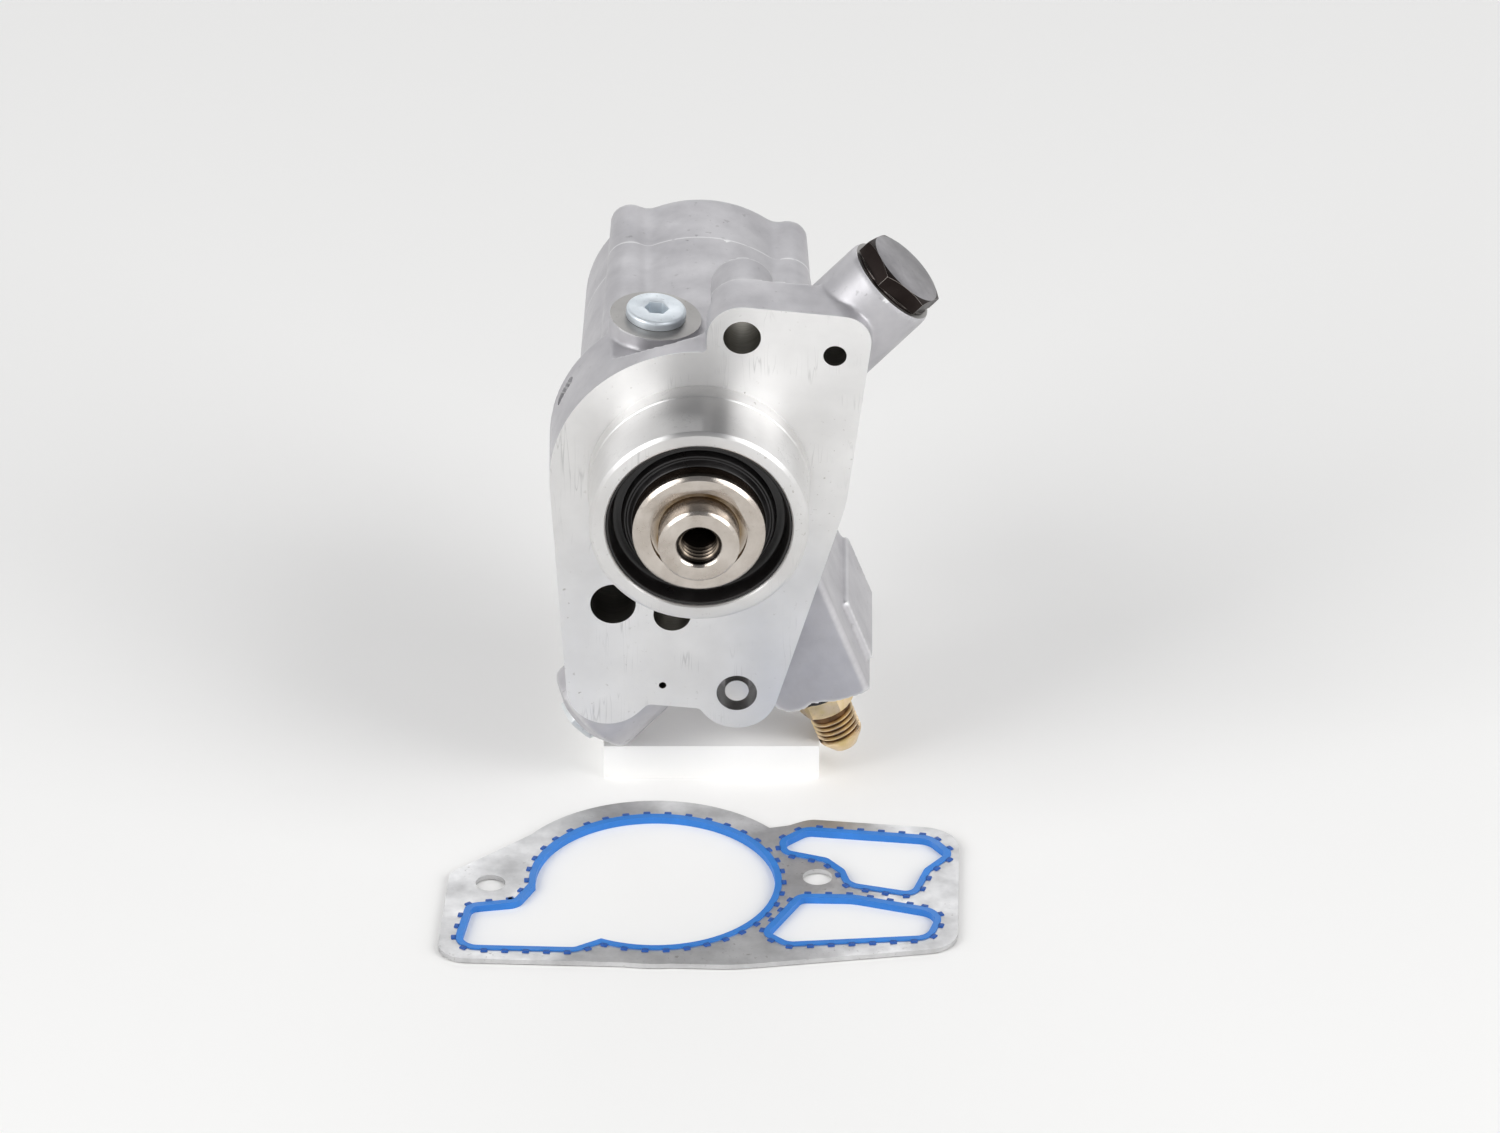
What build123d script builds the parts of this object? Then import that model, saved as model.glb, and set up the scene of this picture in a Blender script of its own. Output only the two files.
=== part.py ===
from build123d import *
from math import acos, atan2, cos, hypot, pi, radians, sin, tan
import os

os.makedirs("parts", exist_ok=True)

# High-pressure engine oil pump: a fixed-displacement axial piston pump with a front mounting flange.
# The shaft turns an inclined cam. The cam wobbles a plate that does not turn, and the plate strokes
# seven pistons in a still barrel. Oil leaves each piston through a ball check into the rear cover.
# Millimetres. The origin is where the shaft axis meets the flange face, +Y runs back along the shaft,
# +Z is up, and the nose points to -Y.

# Fits between pieces, as radial or face gaps
SEAT = 0.02
RUNNING = 0.04
CAM_CLEARANCE = 0.35
CUT_PAST = 1.0

# Piston group: the barrel, the body around it, the shaft and the pilot all follow from these
PISTON_COUNT = 7
PISTON_RADIUS = 5.75
PISTON_CIRCLE = 18.5
PISTON_LENGTH = 30.0
BARREL_WALL = 2.25
BARREL_RADIUS = PISTON_CIRCLE + PISTON_RADIUS + BARREL_WALL
JOURNAL_RADIUS = PISTON_CIRCLE

# Flange and pilot
ROLL = 5.5
FLANGE_THICKNESS = 16.0
SEAL_HEIGHT = 7.5
PILOT_WALL = 5.0
RIM_WIDTH = 10.5
SEAL_BORE_RADIUS = JOURNAL_RADIUS + SEAL_HEIGHT
PILOT_RADIUS = SEAL_BORE_RADIUS + PILOT_WALL
RIM_RADIUS = PILOT_RADIUS + RIM_WIDTH
PILOT_RELIEF = 0.35
PILOT_LENGTH = 25.0
PILOT_REGISTER = 6.0
PILOT_CHAMFER = 1.0
LUG_RADIUS = 9.7
CORNER_RADIUS = 8.2
RIGHT_LOBE_RADIUS = 11.3
LEFT_LOBE_RADIUS = 11.4
TOP_BOLT = (12.0, 46.3)
LOW_BOLT = (-7.5, -44.2)
CORNER_AT = (39.6, 44.8)
PIN_HOLE_AT = (10.5, -69.9)
LEFT_LOBE_AT = (-25.5, -68.5)
NOTCH_HEIGHT = -75.2
BOLT_HOLE_RADIUS = 5.25
BOLT_BOSS_RADIUS = 8.6
BOLT_BOSS_LENGTH = 29.0
FEED_HOLE_AT = (37.8, 40.4)
FEED_HOLE_RADIUS = 3.25
FEED_HOLE_DEPTH = 12.0
SUCTION_AT = (-24.0, -40.7)
SUCTION_RADIUS = 6.35
SUCTION_STEP = 1.0
SUCTION_DEPTH = 27.0
SUCTION_WALL = 4.2
SUCTION_CHANNEL_Y = 20.0
BLEED_AT = (-10.2, -67.4)
BLEED_RADIUS = 1.05
BLEED_DEPTH = 8.0

# Shoulder of the casting behind the rim, and the round flat cut into it for the top plug
SHOULDER_LENGTH = 24.5
SHOULDER_SLOPE = 5.0
TOP_FLAT_RADIUS = 20.0
TOP_FLAT_HEIGHT = 31.0

# Rear body, its four screw columns and the rear cover
BODY_WALL = 6.0
BODY_RADIUS = BARREL_RADIUS + BODY_WALL
BODY_BLEND = 4.0
BODY_DRAFT_ANGLE = 2.5
COVER_THICKNESS = 22.8
JOINT_BEVEL = 1.7
SCREW_RADIUS = 2.5
SCREW_WALL = 0.55
COLUMN_COUNT = 4
COLUMN_ANGLE = 38.0
COLUMN_WALL = 3.8
COLUMN_CIRCLE = BARREL_RADIUS + JOINT_BEVEL + SCREW_WALL + SCREW_RADIUS
COLUMN_RADIUS = SCREW_RADIUS + COLUMN_WALL
REAR_CHAMFER = 0.5
SCREW_CLEARANCE = 0.3
SCREW_ENGAGEMENT = 14.0
SCREW_HEAD_RADIUS = 4.25
SCREW_HEAD_HEIGHT = 5.0
SCREW_HEAD_SINK = 0.8
SCREW_SOCKET_AF = 4.0
SCREW_SOCKET_DEPTH = 3.0
SCREW_TIP_ROOM = 2.0

# Shaft nose
NOSE_RADIUS = 11.3
NOSE_LENGTH = 10.8
NOSE_TIP_Y = -PILOT_LENGTH - NOSE_LENGTH
NOSE_CHAMFER = 0.8
COLLAR_LENGTH = 4.0
COLLAR_Y = -PILOT_LENGTH - COLLAR_LENGTH
COLLAR_CHAMFER = 1.0
COLLAR_RECESS_WIDTH = 2.2
COLLAR_RECESS_RADIUS = NOSE_RADIUS + COLLAR_RECESS_WIDTH
COLLAR_RECESS_DEPTH = 2.0
THREAD_BORE_RADIUS = 5.15
THREAD_DEPTH = 28.0
COUNTERSINK_RADIUS = 6.7

# Shaft seal
SEAL_WIDTH = 8.0
SEAL_SINK = 0.8
SEAL_FRONT_Y = SEAL_SINK - PILOT_LENGTH
SEAL_WALL = 2.2
SEAL_FACE = 1.6
SEAL_LIP_HEIGHT = 3.1
SEAL_LIP_ROOT_RADIUS = JOURNAL_RADIUS + SEAL_LIP_HEIGHT
SEAL_LIP_THICKNESS = 1.1
GARTER_RADIUS = 0.65

# Front roller bearing
ROLLER_RADIUS = 1.95
ROLLER_GAP = 0.05
ROLLER_LENGTH = 13.0
ROLLER_COUNT = 14
ROLLER_CAGE_WALL = 1.6
ROLLER_CAGE_END = 1.6
POCKET_GAP = 0.12
BEARING_WALL = 2.5
BEARING_INNER_RADIUS = JOURNAL_RADIUS + 2 * (ROLLER_RADIUS + ROLLER_GAP)
BEARING_BORE_RADIUS = BEARING_INNER_RADIUS + BEARING_WALL
BEARING_FROM_SEAL = 2.2
BEARING_END_ROOM = 0.9
BEARING_FRONT_Y = SEAL_FRONT_Y + SEAL_WIDTH + BEARING_FROM_SEAL
BEARING_REAR_Y = BEARING_FRONT_Y + ROLLER_LENGTH + 2 * (ROLLER_CAGE_END + BEARING_END_ROOM)
SHAFT_HOLE_GAP = 0.8

# Thrust bearing between the housing and the rotor
CHAMBER_WALL = 4.0
CHAMBER_STEP = 1.7
CHAMBER_FRONT_Y = BEARING_REAR_Y + CHAMBER_WALL
CHAMBER_RADIUS = BARREL_RADIUS - CHAMBER_STEP
ROTOR_CLEARANCE = 0.8
ROTOR_RADIUS = CHAMBER_RADIUS - ROTOR_CLEARANCE
THRUST_WASHER_THICKNESS = 1.5
THRUST_ROLLER_RADIUS = 1.45
THRUST_ROLLER_END = 0.95
THRUST_ROLLER_LENGTH = ROTOR_RADIUS - JOURNAL_RADIUS - 2 * THRUST_ROLLER_END
THRUST_ROLLER_COUNT = 16
THRUST_CAGE_WALL = 1.6
ROTOR_FRONT_Y = CHAMBER_FRONT_Y + THRUST_WASHER_THICKNESS + 2 * (THRUST_ROLLER_RADIUS + RUNNING)

# Inclined cam face of the rotor, and the shaft's rear end in its bush
CAM_ANGLE = 15.0
ROTOR_RIM = 3.3
CAM_CENTRE_Y = ROTOR_FRONT_Y + ROTOR_RIM + ROTOR_RADIUS * tan(radians(CAM_ANGLE))
BUSH_TO_PISTON = 2.75
BUSH_WALL = 2.0
BUSH_LENGTH = 16.0
BUSH_RADIUS = PISTON_CIRCLE - PISTON_RADIUS - BUSH_TO_PISTON
STUB_RADIUS = BUSH_RADIUS - BUSH_WALL
STUB_CHAMFER = 1.0

# Bearing and wobble plate on the cam face
CAM_ROLLER_RADIUS = 1.2
CAM_ROLLER_LENGTH = 7.0
CAM_ROLLER_COUNT = 14
CAM_CAGE_WALL = 1.4
WOBBLE_THICKNESS = 4.0
WOBBLE_MARGIN = 4.0
WOBBLE_BORE_ROOM = 2.8
WOBBLE_RADIUS = PISTON_CIRCLE + WOBBLE_MARGIN
WOBBLE_BORE_RADIUS = STUB_RADIUS + WOBBLE_BORE_ROOM
WOBBLE_CHAMFER = 0.6
WOBBLE_BASE = 2 * (CAM_ROLLER_RADIUS + RUNNING)
WOBBLE_TOP = WOBBLE_BASE + WOBBLE_THICKNESS

# Pistons, shown pushed right back by the cam, and the barrel around them
PISTON_WALL = 1.85
PISTON_BORE_RADIUS = PISTON_RADIUS - PISTON_WALL
PISTON_CROWN = 11.5
PISTON_TO_CAM = WOBBLE_TOP + CAM_CLEARANCE + PISTON_RADIUS + PISTON_CIRCLE * sin(radians(CAM_ANGLE))
PISTON_NOSE_Y = CAM_CENTRE_Y + PISTON_TO_CAM / cos(radians(CAM_ANGLE))
PISTON_REAR_Y = PISTON_NOSE_Y - PISTON_RADIUS + PISTON_LENGTH
PISTON_END_ROOM = 1.56
WOBBLE_ROOM = 2.7
WOBBLE_SWEEP = WOBBLE_RADIUS * sin(radians(CAM_ANGLE)) + WOBBLE_TOP * cos(radians(CAM_ANGLE))
BARREL_FRONT_Y = CAM_CENTRE_Y + WOBBLE_SWEEP + WOBBLE_ROOM
BARREL_REAR_Y = PISTON_REAR_Y + PISTON_END_ROOM
STUB_SHORT = 6.0
STUB_END_Y = BARREL_REAR_Y - STUB_SHORT
SPRING_WIRE = 0.9
SPRING_ROOM = 0.2
PISTON_SPRING_RADIUS = PISTON_BORE_RADIUS - SPRING_ROOM

# Delivery checks, the joint of the body and the cover
CHECK_PLATE_THICKNESS = 10.0
JOINT_Y = BARREL_REAR_Y + CHECK_PLATE_THICKNESS
REAR_Y = JOINT_Y + COVER_THICKNESS
CHECK_HOLE_RADIUS = 3.0
CHECK_SEAT_DEPTH = 3.0
CHECK_BALL_RADIUS = 4.0
CHECK_POCKET_RADIUS = 4.6
CHECK_POCKET_DEPTH = 14.0
CHECK_POCKET_END_Y = JOINT_Y + CHECK_POCKET_DEPTH
CHECK_SPRING_RADIUS = 3.6
GALLERY_DEPTH = 4.0
GALLERY_HALF_WIDTH = 2.6
TIMING_PIN_RADIUS = 1.5
TIMING_PIN_TO_EDGE = 3.5
TIMING_PIN_CIRCLE = BARREL_RADIUS - TIMING_PIN_TO_EDGE
TIMING_PIN_DEPTH = 6.0

# Top plug
TOP_PLUG_Y = 26.0
TOP_PLUG_OFFSET = -15.6
TOP_BOSS_RADIUS = 12.65
TOP_BOSS_RISE = 3.7
TOP_BOSS_HEIGHT = BODY_RADIUS + TOP_BOSS_RISE
TOP_PLUG_HEAD_RADIUS = 8.4
TOP_PLUG_HEAD_HEIGHT = 2.8
TOP_PLUG_SHANK_RADIUS = 6.0
TOP_PLUG_SHANK_LENGTH = 9.0
TOP_PLUG_BORE_ROOM = 1.0
TOP_PLUG_SOCKET_AF = 6.0
TOP_PLUG_SOCKET_DEPTH = 4.0
TOP_PLUG_BEVEL = 1.8
PLUG_HEAD_CHAMFER = 0.6

# Side ports: the right one points up and out, the left one down and out on a line parallel to it
PORT_DIRECTION = (0.69, 0.04, 0.72)
PORT_RADIUS = 14.0
RIGHT_PORT_END = (53.7, 18.0, 53.8)
RIGHT_PORT_LENGTH = 58.0
RIGHT_PORT_EDGE = 0.8
LEFT_PORT_END = (-31.8, 17.7, -87.9)
LEFT_PORT_LENGTH = 38.0
LEFT_PORT_EDGE = 5.2
LEFT_PORT_SLOPE = 3.0
RIGHT_PLUG_AF = 23.4
RIGHT_PLUG_HEAD = 4.8
RIGHT_PLUG_COLLAR_RADIUS = 12.4
RIGHT_PLUG_SHANK_RADIUS = 10.0
RIGHT_PLUG_CORNER_CUT = 0.9
RIGHT_PLUG_BEVEL = 2.4
LEFT_PLUG_AF = 12.6
LEFT_PLUG_HEAD = 1.8
LEFT_PLUG_COLLAR_RADIUS = 7.0
LEFT_PLUG_SHANK_RADIUS = 5.0
LEFT_PLUG_CORNER_CUT = 0.3
LEFT_PLUG_BEVEL = 1.6
PLUG_COLLAR = 0.8
PLUG_SHANK_LENGTH = 13.0
PORT_BORE_ROOM = 3.0

# Outlet block on the lower right and its flare fitting
BLOCK_CORNER = (47.6, -75.7)
BLOCK_LEAN = (0.35, -0.937)
BLOCK_WIDTH = 27.0
BLOCK_LENGTH = 62.0
BLOCK_FRONT_Y = 10.0
BLOCK_REAR_Y = 62.0
BLOCK_EDGE = 1.1
BLOCK_FLAT_WIDTH = 8.9
BLOCK_FACET_DEPTH = 2.1
BLOCK_REAR_EDGE = 4.0
BLOCK_FOOT_CUT = 3.0
FITTING_FROM_CORNER = 14.3
FITTING_FROM_FRONT = 9.0
FITTING_Y = BLOCK_FRONT_Y + FITTING_FROM_FRONT
FITTING_HEX_AF = 14.3
FITTING_HEX_LENGTH = 5.0
FITTING_THREAD_RADIUS = 6.3
FITTING_NECK_RADIUS = 5.6
FITTING_THREAD_LENGTH = 8.0
FITTING_NECK_LENGTH = 1.6
FITTING_NOSE_STEP = 1.0
FITTING_NOSE_LENGTH = 4.2
FITTING_NOSE_RADIUS = 3.6
FITTING_BORE_RADIUS = 2.6
FITTING_STEM_RADIUS = 7.0
FITTING_STEM_LENGTH = 11.0
FITTING_BORE_ROOM = 2.0
FITTING_BEVEL = 2.0
FLARE_ANGLE = 37.0

# Check pin in the lower right lobe
PIN_HOLE_RADIUS = 5.65
PIN_HOLE_DEPTH = 10.0
PIN_RADIUS = 3.3
PIN_RECESS = 1.2
PIN_LENGTH = 13.0

# Mounting gasket, lying face down on the floor in front of the pump
FLOOR_Z = -106.2
GASKET_AT = (-12.2, -44.2)
GASKET_THICKNESS = 1.4
GASKET_MAIN_RADIUS = 33.4
BEAD_WIDTH = 1.9
BEAD_PROUD = 0.35
GASKET_RING_WIDTH = 7.4
GASKET_RING_RADIUS = GASKET_MAIN_RADIUS + BEAD_WIDTH + GASKET_RING_WIDTH
GASKET_HOLE_RADIUS = 4.15

# Gasket bolt holes, and the corners of its plate and openings with their rounding radius. The x of each
# is counted from the left or the right edge of the round opening.
GASKET_LEFT_HOLE = (-12.5, -0.4)
GASKET_RIGHT_HOLE = (11.8, 2.7)
GASKET_LEFT_PLATE = ((-27.6, -39.4, 8.0), (-23.9, 4.8, 3.0), (3.9, 29.5, 4.0))
GASKET_RIGHT_PLATE = (
    (-3.4, 28.0, 1.0),
    (3.6, 29.6, 5.0),
    (9.6, 32.9, 6.0),
    (51.5, 27.5, 11.0),
    (50.7, -33.9, 9.0),
    (-11.4, -43.3, 60.0),
)
GASKET_LEFT_LOBE = (
    (9.4, 18.0, 1.0),
    (-4.6, -11.0, 5.0),
    (-17.6, -13.2, 2.5),
    (-21.0, -33.0, 4.5),
    (10.9, -34.4, 3.0),
    (21.4, -28.0, 1.0),
)
GASKET_FAR_OPENING = (
    (3.5, 16.2, 2.0),
    (2.9, 21.0, 3.0),
    (9.0, 26.6, 3.5),
    (42.6, 22.2, 5.0),
    (47.8, 14.6, 2.5),
    (41.6, 6.5, 4.0),
    (38.0, -5.6, 2.5),
    (21.1, -0.8, 4.0),
    (19.4, 6.0, 4.0),
    (14.6, 12.2, 3.0),
)
GASKET_NEAR_OPENING = (
    (7.4, -8.4, 2.2),
    (21.6, -8.8, 12.0),
    (45.4, -16.5, 5.0),
    (42.1, -28.2, 4.0),
    (3.6, -31.6, 3.5),
    (-1.8, -26.6, 2.0),
)

UP = (sin(radians(ROLL)), 0, cos(radians(ROLL)))
ACROSS = (cos(radians(ROLL)), 0, -sin(radians(ROLL)))
CAM_NORMAL = (0, cos(radians(CAM_ANGLE)), sin(radians(CAM_ANGLE)))


def rolled(across, up):
    """Point in the flange plane, counted along the pump's own level line and upright."""
    return (across * ACROSS[0] + up * UP[0], across * ACROSS[2] + up * UP[2])


def facing_front(y):
    """Sketch plane across the shaft, with sketch x to the right and sketch y up."""
    return Plane(origin=(0, y, 0), x_dir=(1, 0, 0), z_dir=(0, -1, 0))


def slab(outline, front_y, rear_y):
    return extrude(facing_front(front_y) * outline, amount=rear_y - front_y, dir=(0, 1, 0))


def spot(centre, radius):
    return Pos(centre[0], centre[1]) * Circle(radius)


def turned(*profile):
    """Solid turned about the shaft axis from (radius, y) points."""
    return revolve(make_face(Polyline(*profile, close=True)), Axis.Y)


def turned_on(plane, *profile):
    """Solid turned about a plane's normal from (radius, height) points."""
    face = Plane.XZ * make_face(Polyline(*profile, close=True))
    return plane * revolve(face, Axis.Z)


def bar(start, direction, radius, length):
    return extrude(Plane(origin=start, z_dir=direction) * Circle(radius), amount=length)


def corner_ring(plane, shank_radius, bevel):
    """O-ring that fits the bevel at a bore's mouth, under the plane and around the shank."""
    middle = bevel * (1 - 2**-0.5)
    return plane * Pos(0, 0, -middle) * Torus(shank_radius + middle, middle - SEAT)


def around(count, circle, start=0.0):
    """Points spread evenly on a circle about the shaft, as (x, z)."""
    angles = [radians(start + 360 * step / count) for step in range(count)]
    return [(circle * cos(angle), circle * sin(angle)) for angle in angles]


def tangent(first, first_radius, second, second_radius, side):
    """The two points where a line on one side touches both circles."""
    along = atan2(second[1] - first[1], second[0] - first[0])
    distance = hypot(second[0] - first[0], second[1] - first[1])
    normal = along + side * acos((first_radius - second_radius) / distance)
    start = (first[0] + first_radius * cos(normal), first[1] + first_radius * sin(normal))
    end = (second[0] + second_radius * cos(normal), second[1] + second_radius * sin(normal))
    return start, end


def strap(first, first_radius, second, second_radius):
    """Outline around two circles and the two lines that touch both."""
    upper = tangent(first, first_radius, second, second_radius, 1)
    lower = tangent(first, first_radius, second, second_radius, -1)
    middle = Polygon(upper[0], upper[1], lower[1], lower[0], align=None)
    return spot(first, first_radius) + spot(second, second_radius) + middle


def flange_outline():
    """Round rim around the shaft, a square lug at the top right and two lobes below."""
    lug_foot = (TOP_BOLT[0], LUG_RADIUS)
    right_edge = tangent((0, 0), RIM_RADIUS, CORNER_AT, CORNER_RADIUS, -1)
    web = Polygon((0, 0), lug_foot, TOP_BOLT, CORNER_AT, right_edge[1], right_edge[0], align=None)
    outline = strap((0, 0), RIM_RADIUS, PIN_HOLE_AT, RIGHT_LOBE_RADIUS)
    outline += strap((0, 0), RIM_RADIUS, LEFT_LOBE_AT, LEFT_LOBE_RADIUS)
    outline += strap(TOP_BOLT, LUG_RADIUS, CORNER_AT, CORNER_RADIUS)
    outline += strap(TOP_BOLT, LUG_RADIUS, lug_foot, LUG_RADIUS)
    outline += web
    notch = Polygon(
        LEFT_LOBE_AT,
        (LEFT_LOBE_AT[0], rolled(LEFT_LOBE_AT[0], NOTCH_HEIGHT)[1]),
        (PIN_HOLE_AT[0], rolled(PIN_HOLE_AT[0], NOTCH_HEIGHT)[1]),
        PIN_HOLE_AT,
        LOW_BOLT,
        align=None,
    )
    return outline + notch


def body_outline():
    outline = Circle(BODY_RADIUS)
    for place in around(COLUMN_COUNT, COLUMN_CIRCLE, COLUMN_ANGLE):
        outline += spot(place, COLUMN_RADIUS)
    return offset(offset(outline, BODY_BLEND), -BODY_BLEND)


def drafted(front_y, rear_y):
    """Stretch of the body, wider towards the flange so that the casting leaves its mould."""
    spread = tan(radians(BODY_DRAFT_ANGLE))
    front = facing_front(front_y) * offset(body_outline(), (JOINT_Y - front_y) * spread)
    rear = facing_front(rear_y) * offset(body_outline(), (JOINT_Y - rear_y) * spread)
    return loft([front.face(), rear.face()])


def shoulder():
    """Cast shoulder behind the rim that runs down to the body."""
    slope_end = SHOULDER_LENGTH + SHOULDER_SLOPE
    return turned(
        (0, 0),
        (RIM_RADIUS, 0),
        (RIM_RADIUS, SHOULDER_LENGTH),
        (BODY_RADIUS, slope_end),
        (0, slope_end),
    )


def top_plane(height):
    """Plane square to the pump's upright, on the top plug's axis."""
    x, z = rolled(TOP_PLUG_OFFSET, height)
    return Plane(origin=(x, TOP_PLUG_Y, z), x_dir=ACROSS, z_dir=UP)


def head_room(plane, radius):
    """Room above a boss's end face for its plug's head."""
    return plane * Cylinder(radius, radius, align=(Align.CENTER, Align.CENTER, Align.MIN))


def top_flat_cut():
    """Room cleared in the shoulder around the top plug's boss."""
    return head_room(top_plane(TOP_FLAT_HEIGHT), TOP_FLAT_RADIUS)


def port_plane(end, sign):
    """Plane of a side port's end face, with its normal pointing out of the port."""
    return Plane(origin=end, z_dir=tuple(sign * part for part in PORT_DIRECTION))


RIGHT_PORT = port_plane(RIGHT_PORT_END, 1)
LEFT_PORT = port_plane(LEFT_PORT_END, -1)


def port_boss(plane, length, edge, slope):
    """Round boss of a side port, drawn in by an edge over the last stretch, its slope."""
    return turned_on(
        plane,
        (0, -length),
        (PORT_RADIUS, -length),
        (PORT_RADIUS, -slope),
        (PORT_RADIUS - edge, 0),
        (0, 0),
    )


def port_bore(plane, shank_radius, bevel):
    depth = PLUG_SHANK_LENGTH + PORT_BORE_ROOM
    radius = shank_radius + SEAT
    return turned_on(
        plane, (0, -depth), (radius, -depth), (radius, -bevel), (radius + bevel, 0), (0, 0)
    )


def block_point(across, along):
    """Point on the outlet block's outline, from its low right corner."""
    lean_x, lean_z = BLOCK_LEAN
    x = BLOCK_CORNER[0] + across * lean_z - along * lean_x
    z = BLOCK_CORNER[1] - across * lean_x - along * lean_z
    return (x, z)


def outlet_block():
    """Leaning prism that carries the fitting, with a front that falls back at the left."""
    low = block_point(0, 0)
    section = Plane(
        origin=(low[0], BLOCK_FRONT_Y, low[1]),
        x_dir=(BLOCK_LEAN[1], 0, -BLOCK_LEAN[0]),
        z_dir=(-BLOCK_LEAN[0], 0, -BLOCK_LEAN[1]),
    )
    depth = BLOCK_REAR_Y - BLOCK_FRONT_Y
    back = section.to_local_coords(Vector(low[0], BLOCK_FRONT_Y + 1, low[1])).Y
    outline = Polygon(
        (0, back * BLOCK_EDGE),
        (BLOCK_EDGE, 0),
        (BLOCK_FLAT_WIDTH, 0),
        (BLOCK_WIDTH, back * BLOCK_FACET_DEPTH),
        (BLOCK_WIDTH, back * depth),
        (BLOCK_REAR_EDGE, back * depth),
        (0, back * (depth - BLOCK_REAR_EDGE)),
        align=None,
    )
    body = extrude(section * outline, amount=BLOCK_LENGTH, dir=section.z_dir)
    foot = Polygon(
        block_point(BLOCK_WIDTH, 0),
        block_point(BLOCK_WIDTH - BLOCK_FOOT_CUT, 0),
        block_point(BLOCK_WIDTH, BLOCK_FOOT_CUT),
        align=None,
    )
    return body - slab(foot, BLOCK_FRONT_Y, BLOCK_REAR_Y)


def fitting_plane():
    x, z = block_point(FITTING_FROM_CORNER, 0)
    return Plane(origin=(x, FITTING_Y, z), z_dir=(BLOCK_LEAN[0], 0, BLOCK_LEAN[1]))


def housing_cavity():
    """Bores along the shaft: seal, bearing, shaft, cam chamber and barrel, from front to rear."""
    shaft_hole = JOURNAL_RADIUS + SHAFT_HOLE_GAP
    ring = JOINT_BEVEL
    seal_end = SEAL_FRONT_Y + SEAL_WIDTH + SEAT
    return turned(
        (0, -PILOT_LENGTH),
        (SEAL_BORE_RADIUS, -PILOT_LENGTH),
        (SEAL_BORE_RADIUS, seal_end),
        (BEARING_BORE_RADIUS, seal_end),
        (BEARING_BORE_RADIUS, BEARING_REAR_Y + SEAT),
        (shaft_hole, BEARING_REAR_Y + SEAT),
        (shaft_hole, CHAMBER_FRONT_Y),
        (CHAMBER_RADIUS, CHAMBER_FRONT_Y),
        (CHAMBER_RADIUS, BARREL_FRONT_Y),
        (BARREL_RADIUS, BARREL_FRONT_Y),
        (BARREL_RADIUS, JOINT_Y - ring),
        (BARREL_RADIUS + ring, JOINT_Y),
        (0, JOINT_Y),
    )


def pilot():
    """Turned nose that centres the pump, with a fitted register next to the flange."""
    nose_radius = PILOT_RADIUS - PILOT_RELIEF
    return turned(
        (0, -PILOT_LENGTH),
        (nose_radius - PILOT_CHAMFER, -PILOT_LENGTH),
        (nose_radius, PILOT_CHAMFER - PILOT_LENGTH),
        (nose_radius, -PILOT_REGISTER),
        (PILOT_RADIUS, -PILOT_REGISTER),
        (PILOT_RADIUS, 0),
        (0, 0),
    )


def suction_channel():
    """Drilling from the bottom of the suction hole to the cam chamber."""
    x, z = SUCTION_AT
    length = hypot(x, z) - CHAMBER_RADIUS / 2
    return bar((x, SUCTION_CHANNEL_Y, z), (-x, 0, -z), SUCTION_RADIUS - SUCTION_STEP, length)


def pump_housing():
    """Cast aluminium housing: flange, pilot, body, bosses, ports and outlet block in one piece."""
    housing = slab(flange_outline(), 0, FLANGE_THICKNESS) + shoulder()
    housing -= top_flat_cut()
    housing += drafted(FLANGE_THICKNESS / 2, JOINT_Y)
    housing += bar(top_plane(0).origin, UP, TOP_BOSS_RADIUS, TOP_BOSS_HEIGHT)
    housing += slab(spot(TOP_BOLT, BOLT_BOSS_RADIUS), 0, BOLT_BOSS_LENGTH)
    housing += slab(spot(LOW_BOLT, BOLT_BOSS_RADIUS), 0, BOLT_BOSS_LENGTH)
    housing += slab(spot(SUCTION_AT, SUCTION_RADIUS + SUCTION_WALL), 0, SUCTION_DEPTH + SUCTION_WALL)
    housing += port_boss(RIGHT_PORT, RIGHT_PORT_LENGTH, RIGHT_PORT_EDGE, RIGHT_PORT_EDGE)
    housing += port_boss(LEFT_PORT, LEFT_PORT_LENGTH, LEFT_PORT_EDGE, LEFT_PORT_SLOPE)
    housing += outlet_block()
    housing += pilot()
    housing -= housing_cavity()
    for place in (TOP_BOLT, LOW_BOLT):
        housing -= slab(spot(place, BOLT_HOLE_RADIUS), 0, BOLT_BOSS_LENGTH)
    housing -= slab(spot(FEED_HOLE_AT, FEED_HOLE_RADIUS), 0, FEED_HOLE_DEPTH)
    housing -= slab(spot(SUCTION_AT, SUCTION_RADIUS), 0, SUCTION_DEPTH)
    housing -= suction_channel()
    housing -= slab(spot(BLEED_AT, BLEED_RADIUS), 0, BLEED_DEPTH)
    housing -= slab(spot(PIN_HOLE_AT, PIN_HOLE_RADIUS), 0, PIN_HOLE_DEPTH)
    housing -= slab(spot(PIN_HOLE_AT, PIN_RADIUS + SEAT), 0, PIN_RECESS + PIN_LENGTH)
    for place in around(COLUMN_COUNT, COLUMN_CIRCLE, COLUMN_ANGLE):
        front = JOINT_Y - SCREW_ENGAGEMENT - SCREW_TIP_ROOM
        housing -= slab(spot(place, SCREW_RADIUS + SEAT), front, JOINT_Y)
    for plane in (RIGHT_PORT, LEFT_PORT):
        housing -= head_room(plane, PORT_RADIUS)
    housing -= port_bore(RIGHT_PORT, RIGHT_PLUG_SHANK_RADIUS, RIGHT_PLUG_BEVEL)
    housing -= port_bore(LEFT_PORT, LEFT_PLUG_SHANK_RADIUS, LEFT_PLUG_BEVEL)
    housing -= head_room(top_plane(TOP_BOSS_HEIGHT), TOP_BOSS_RADIUS)
    housing -= top_plug_bore()
    housing -= fitting_bore()
    return housing


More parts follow.
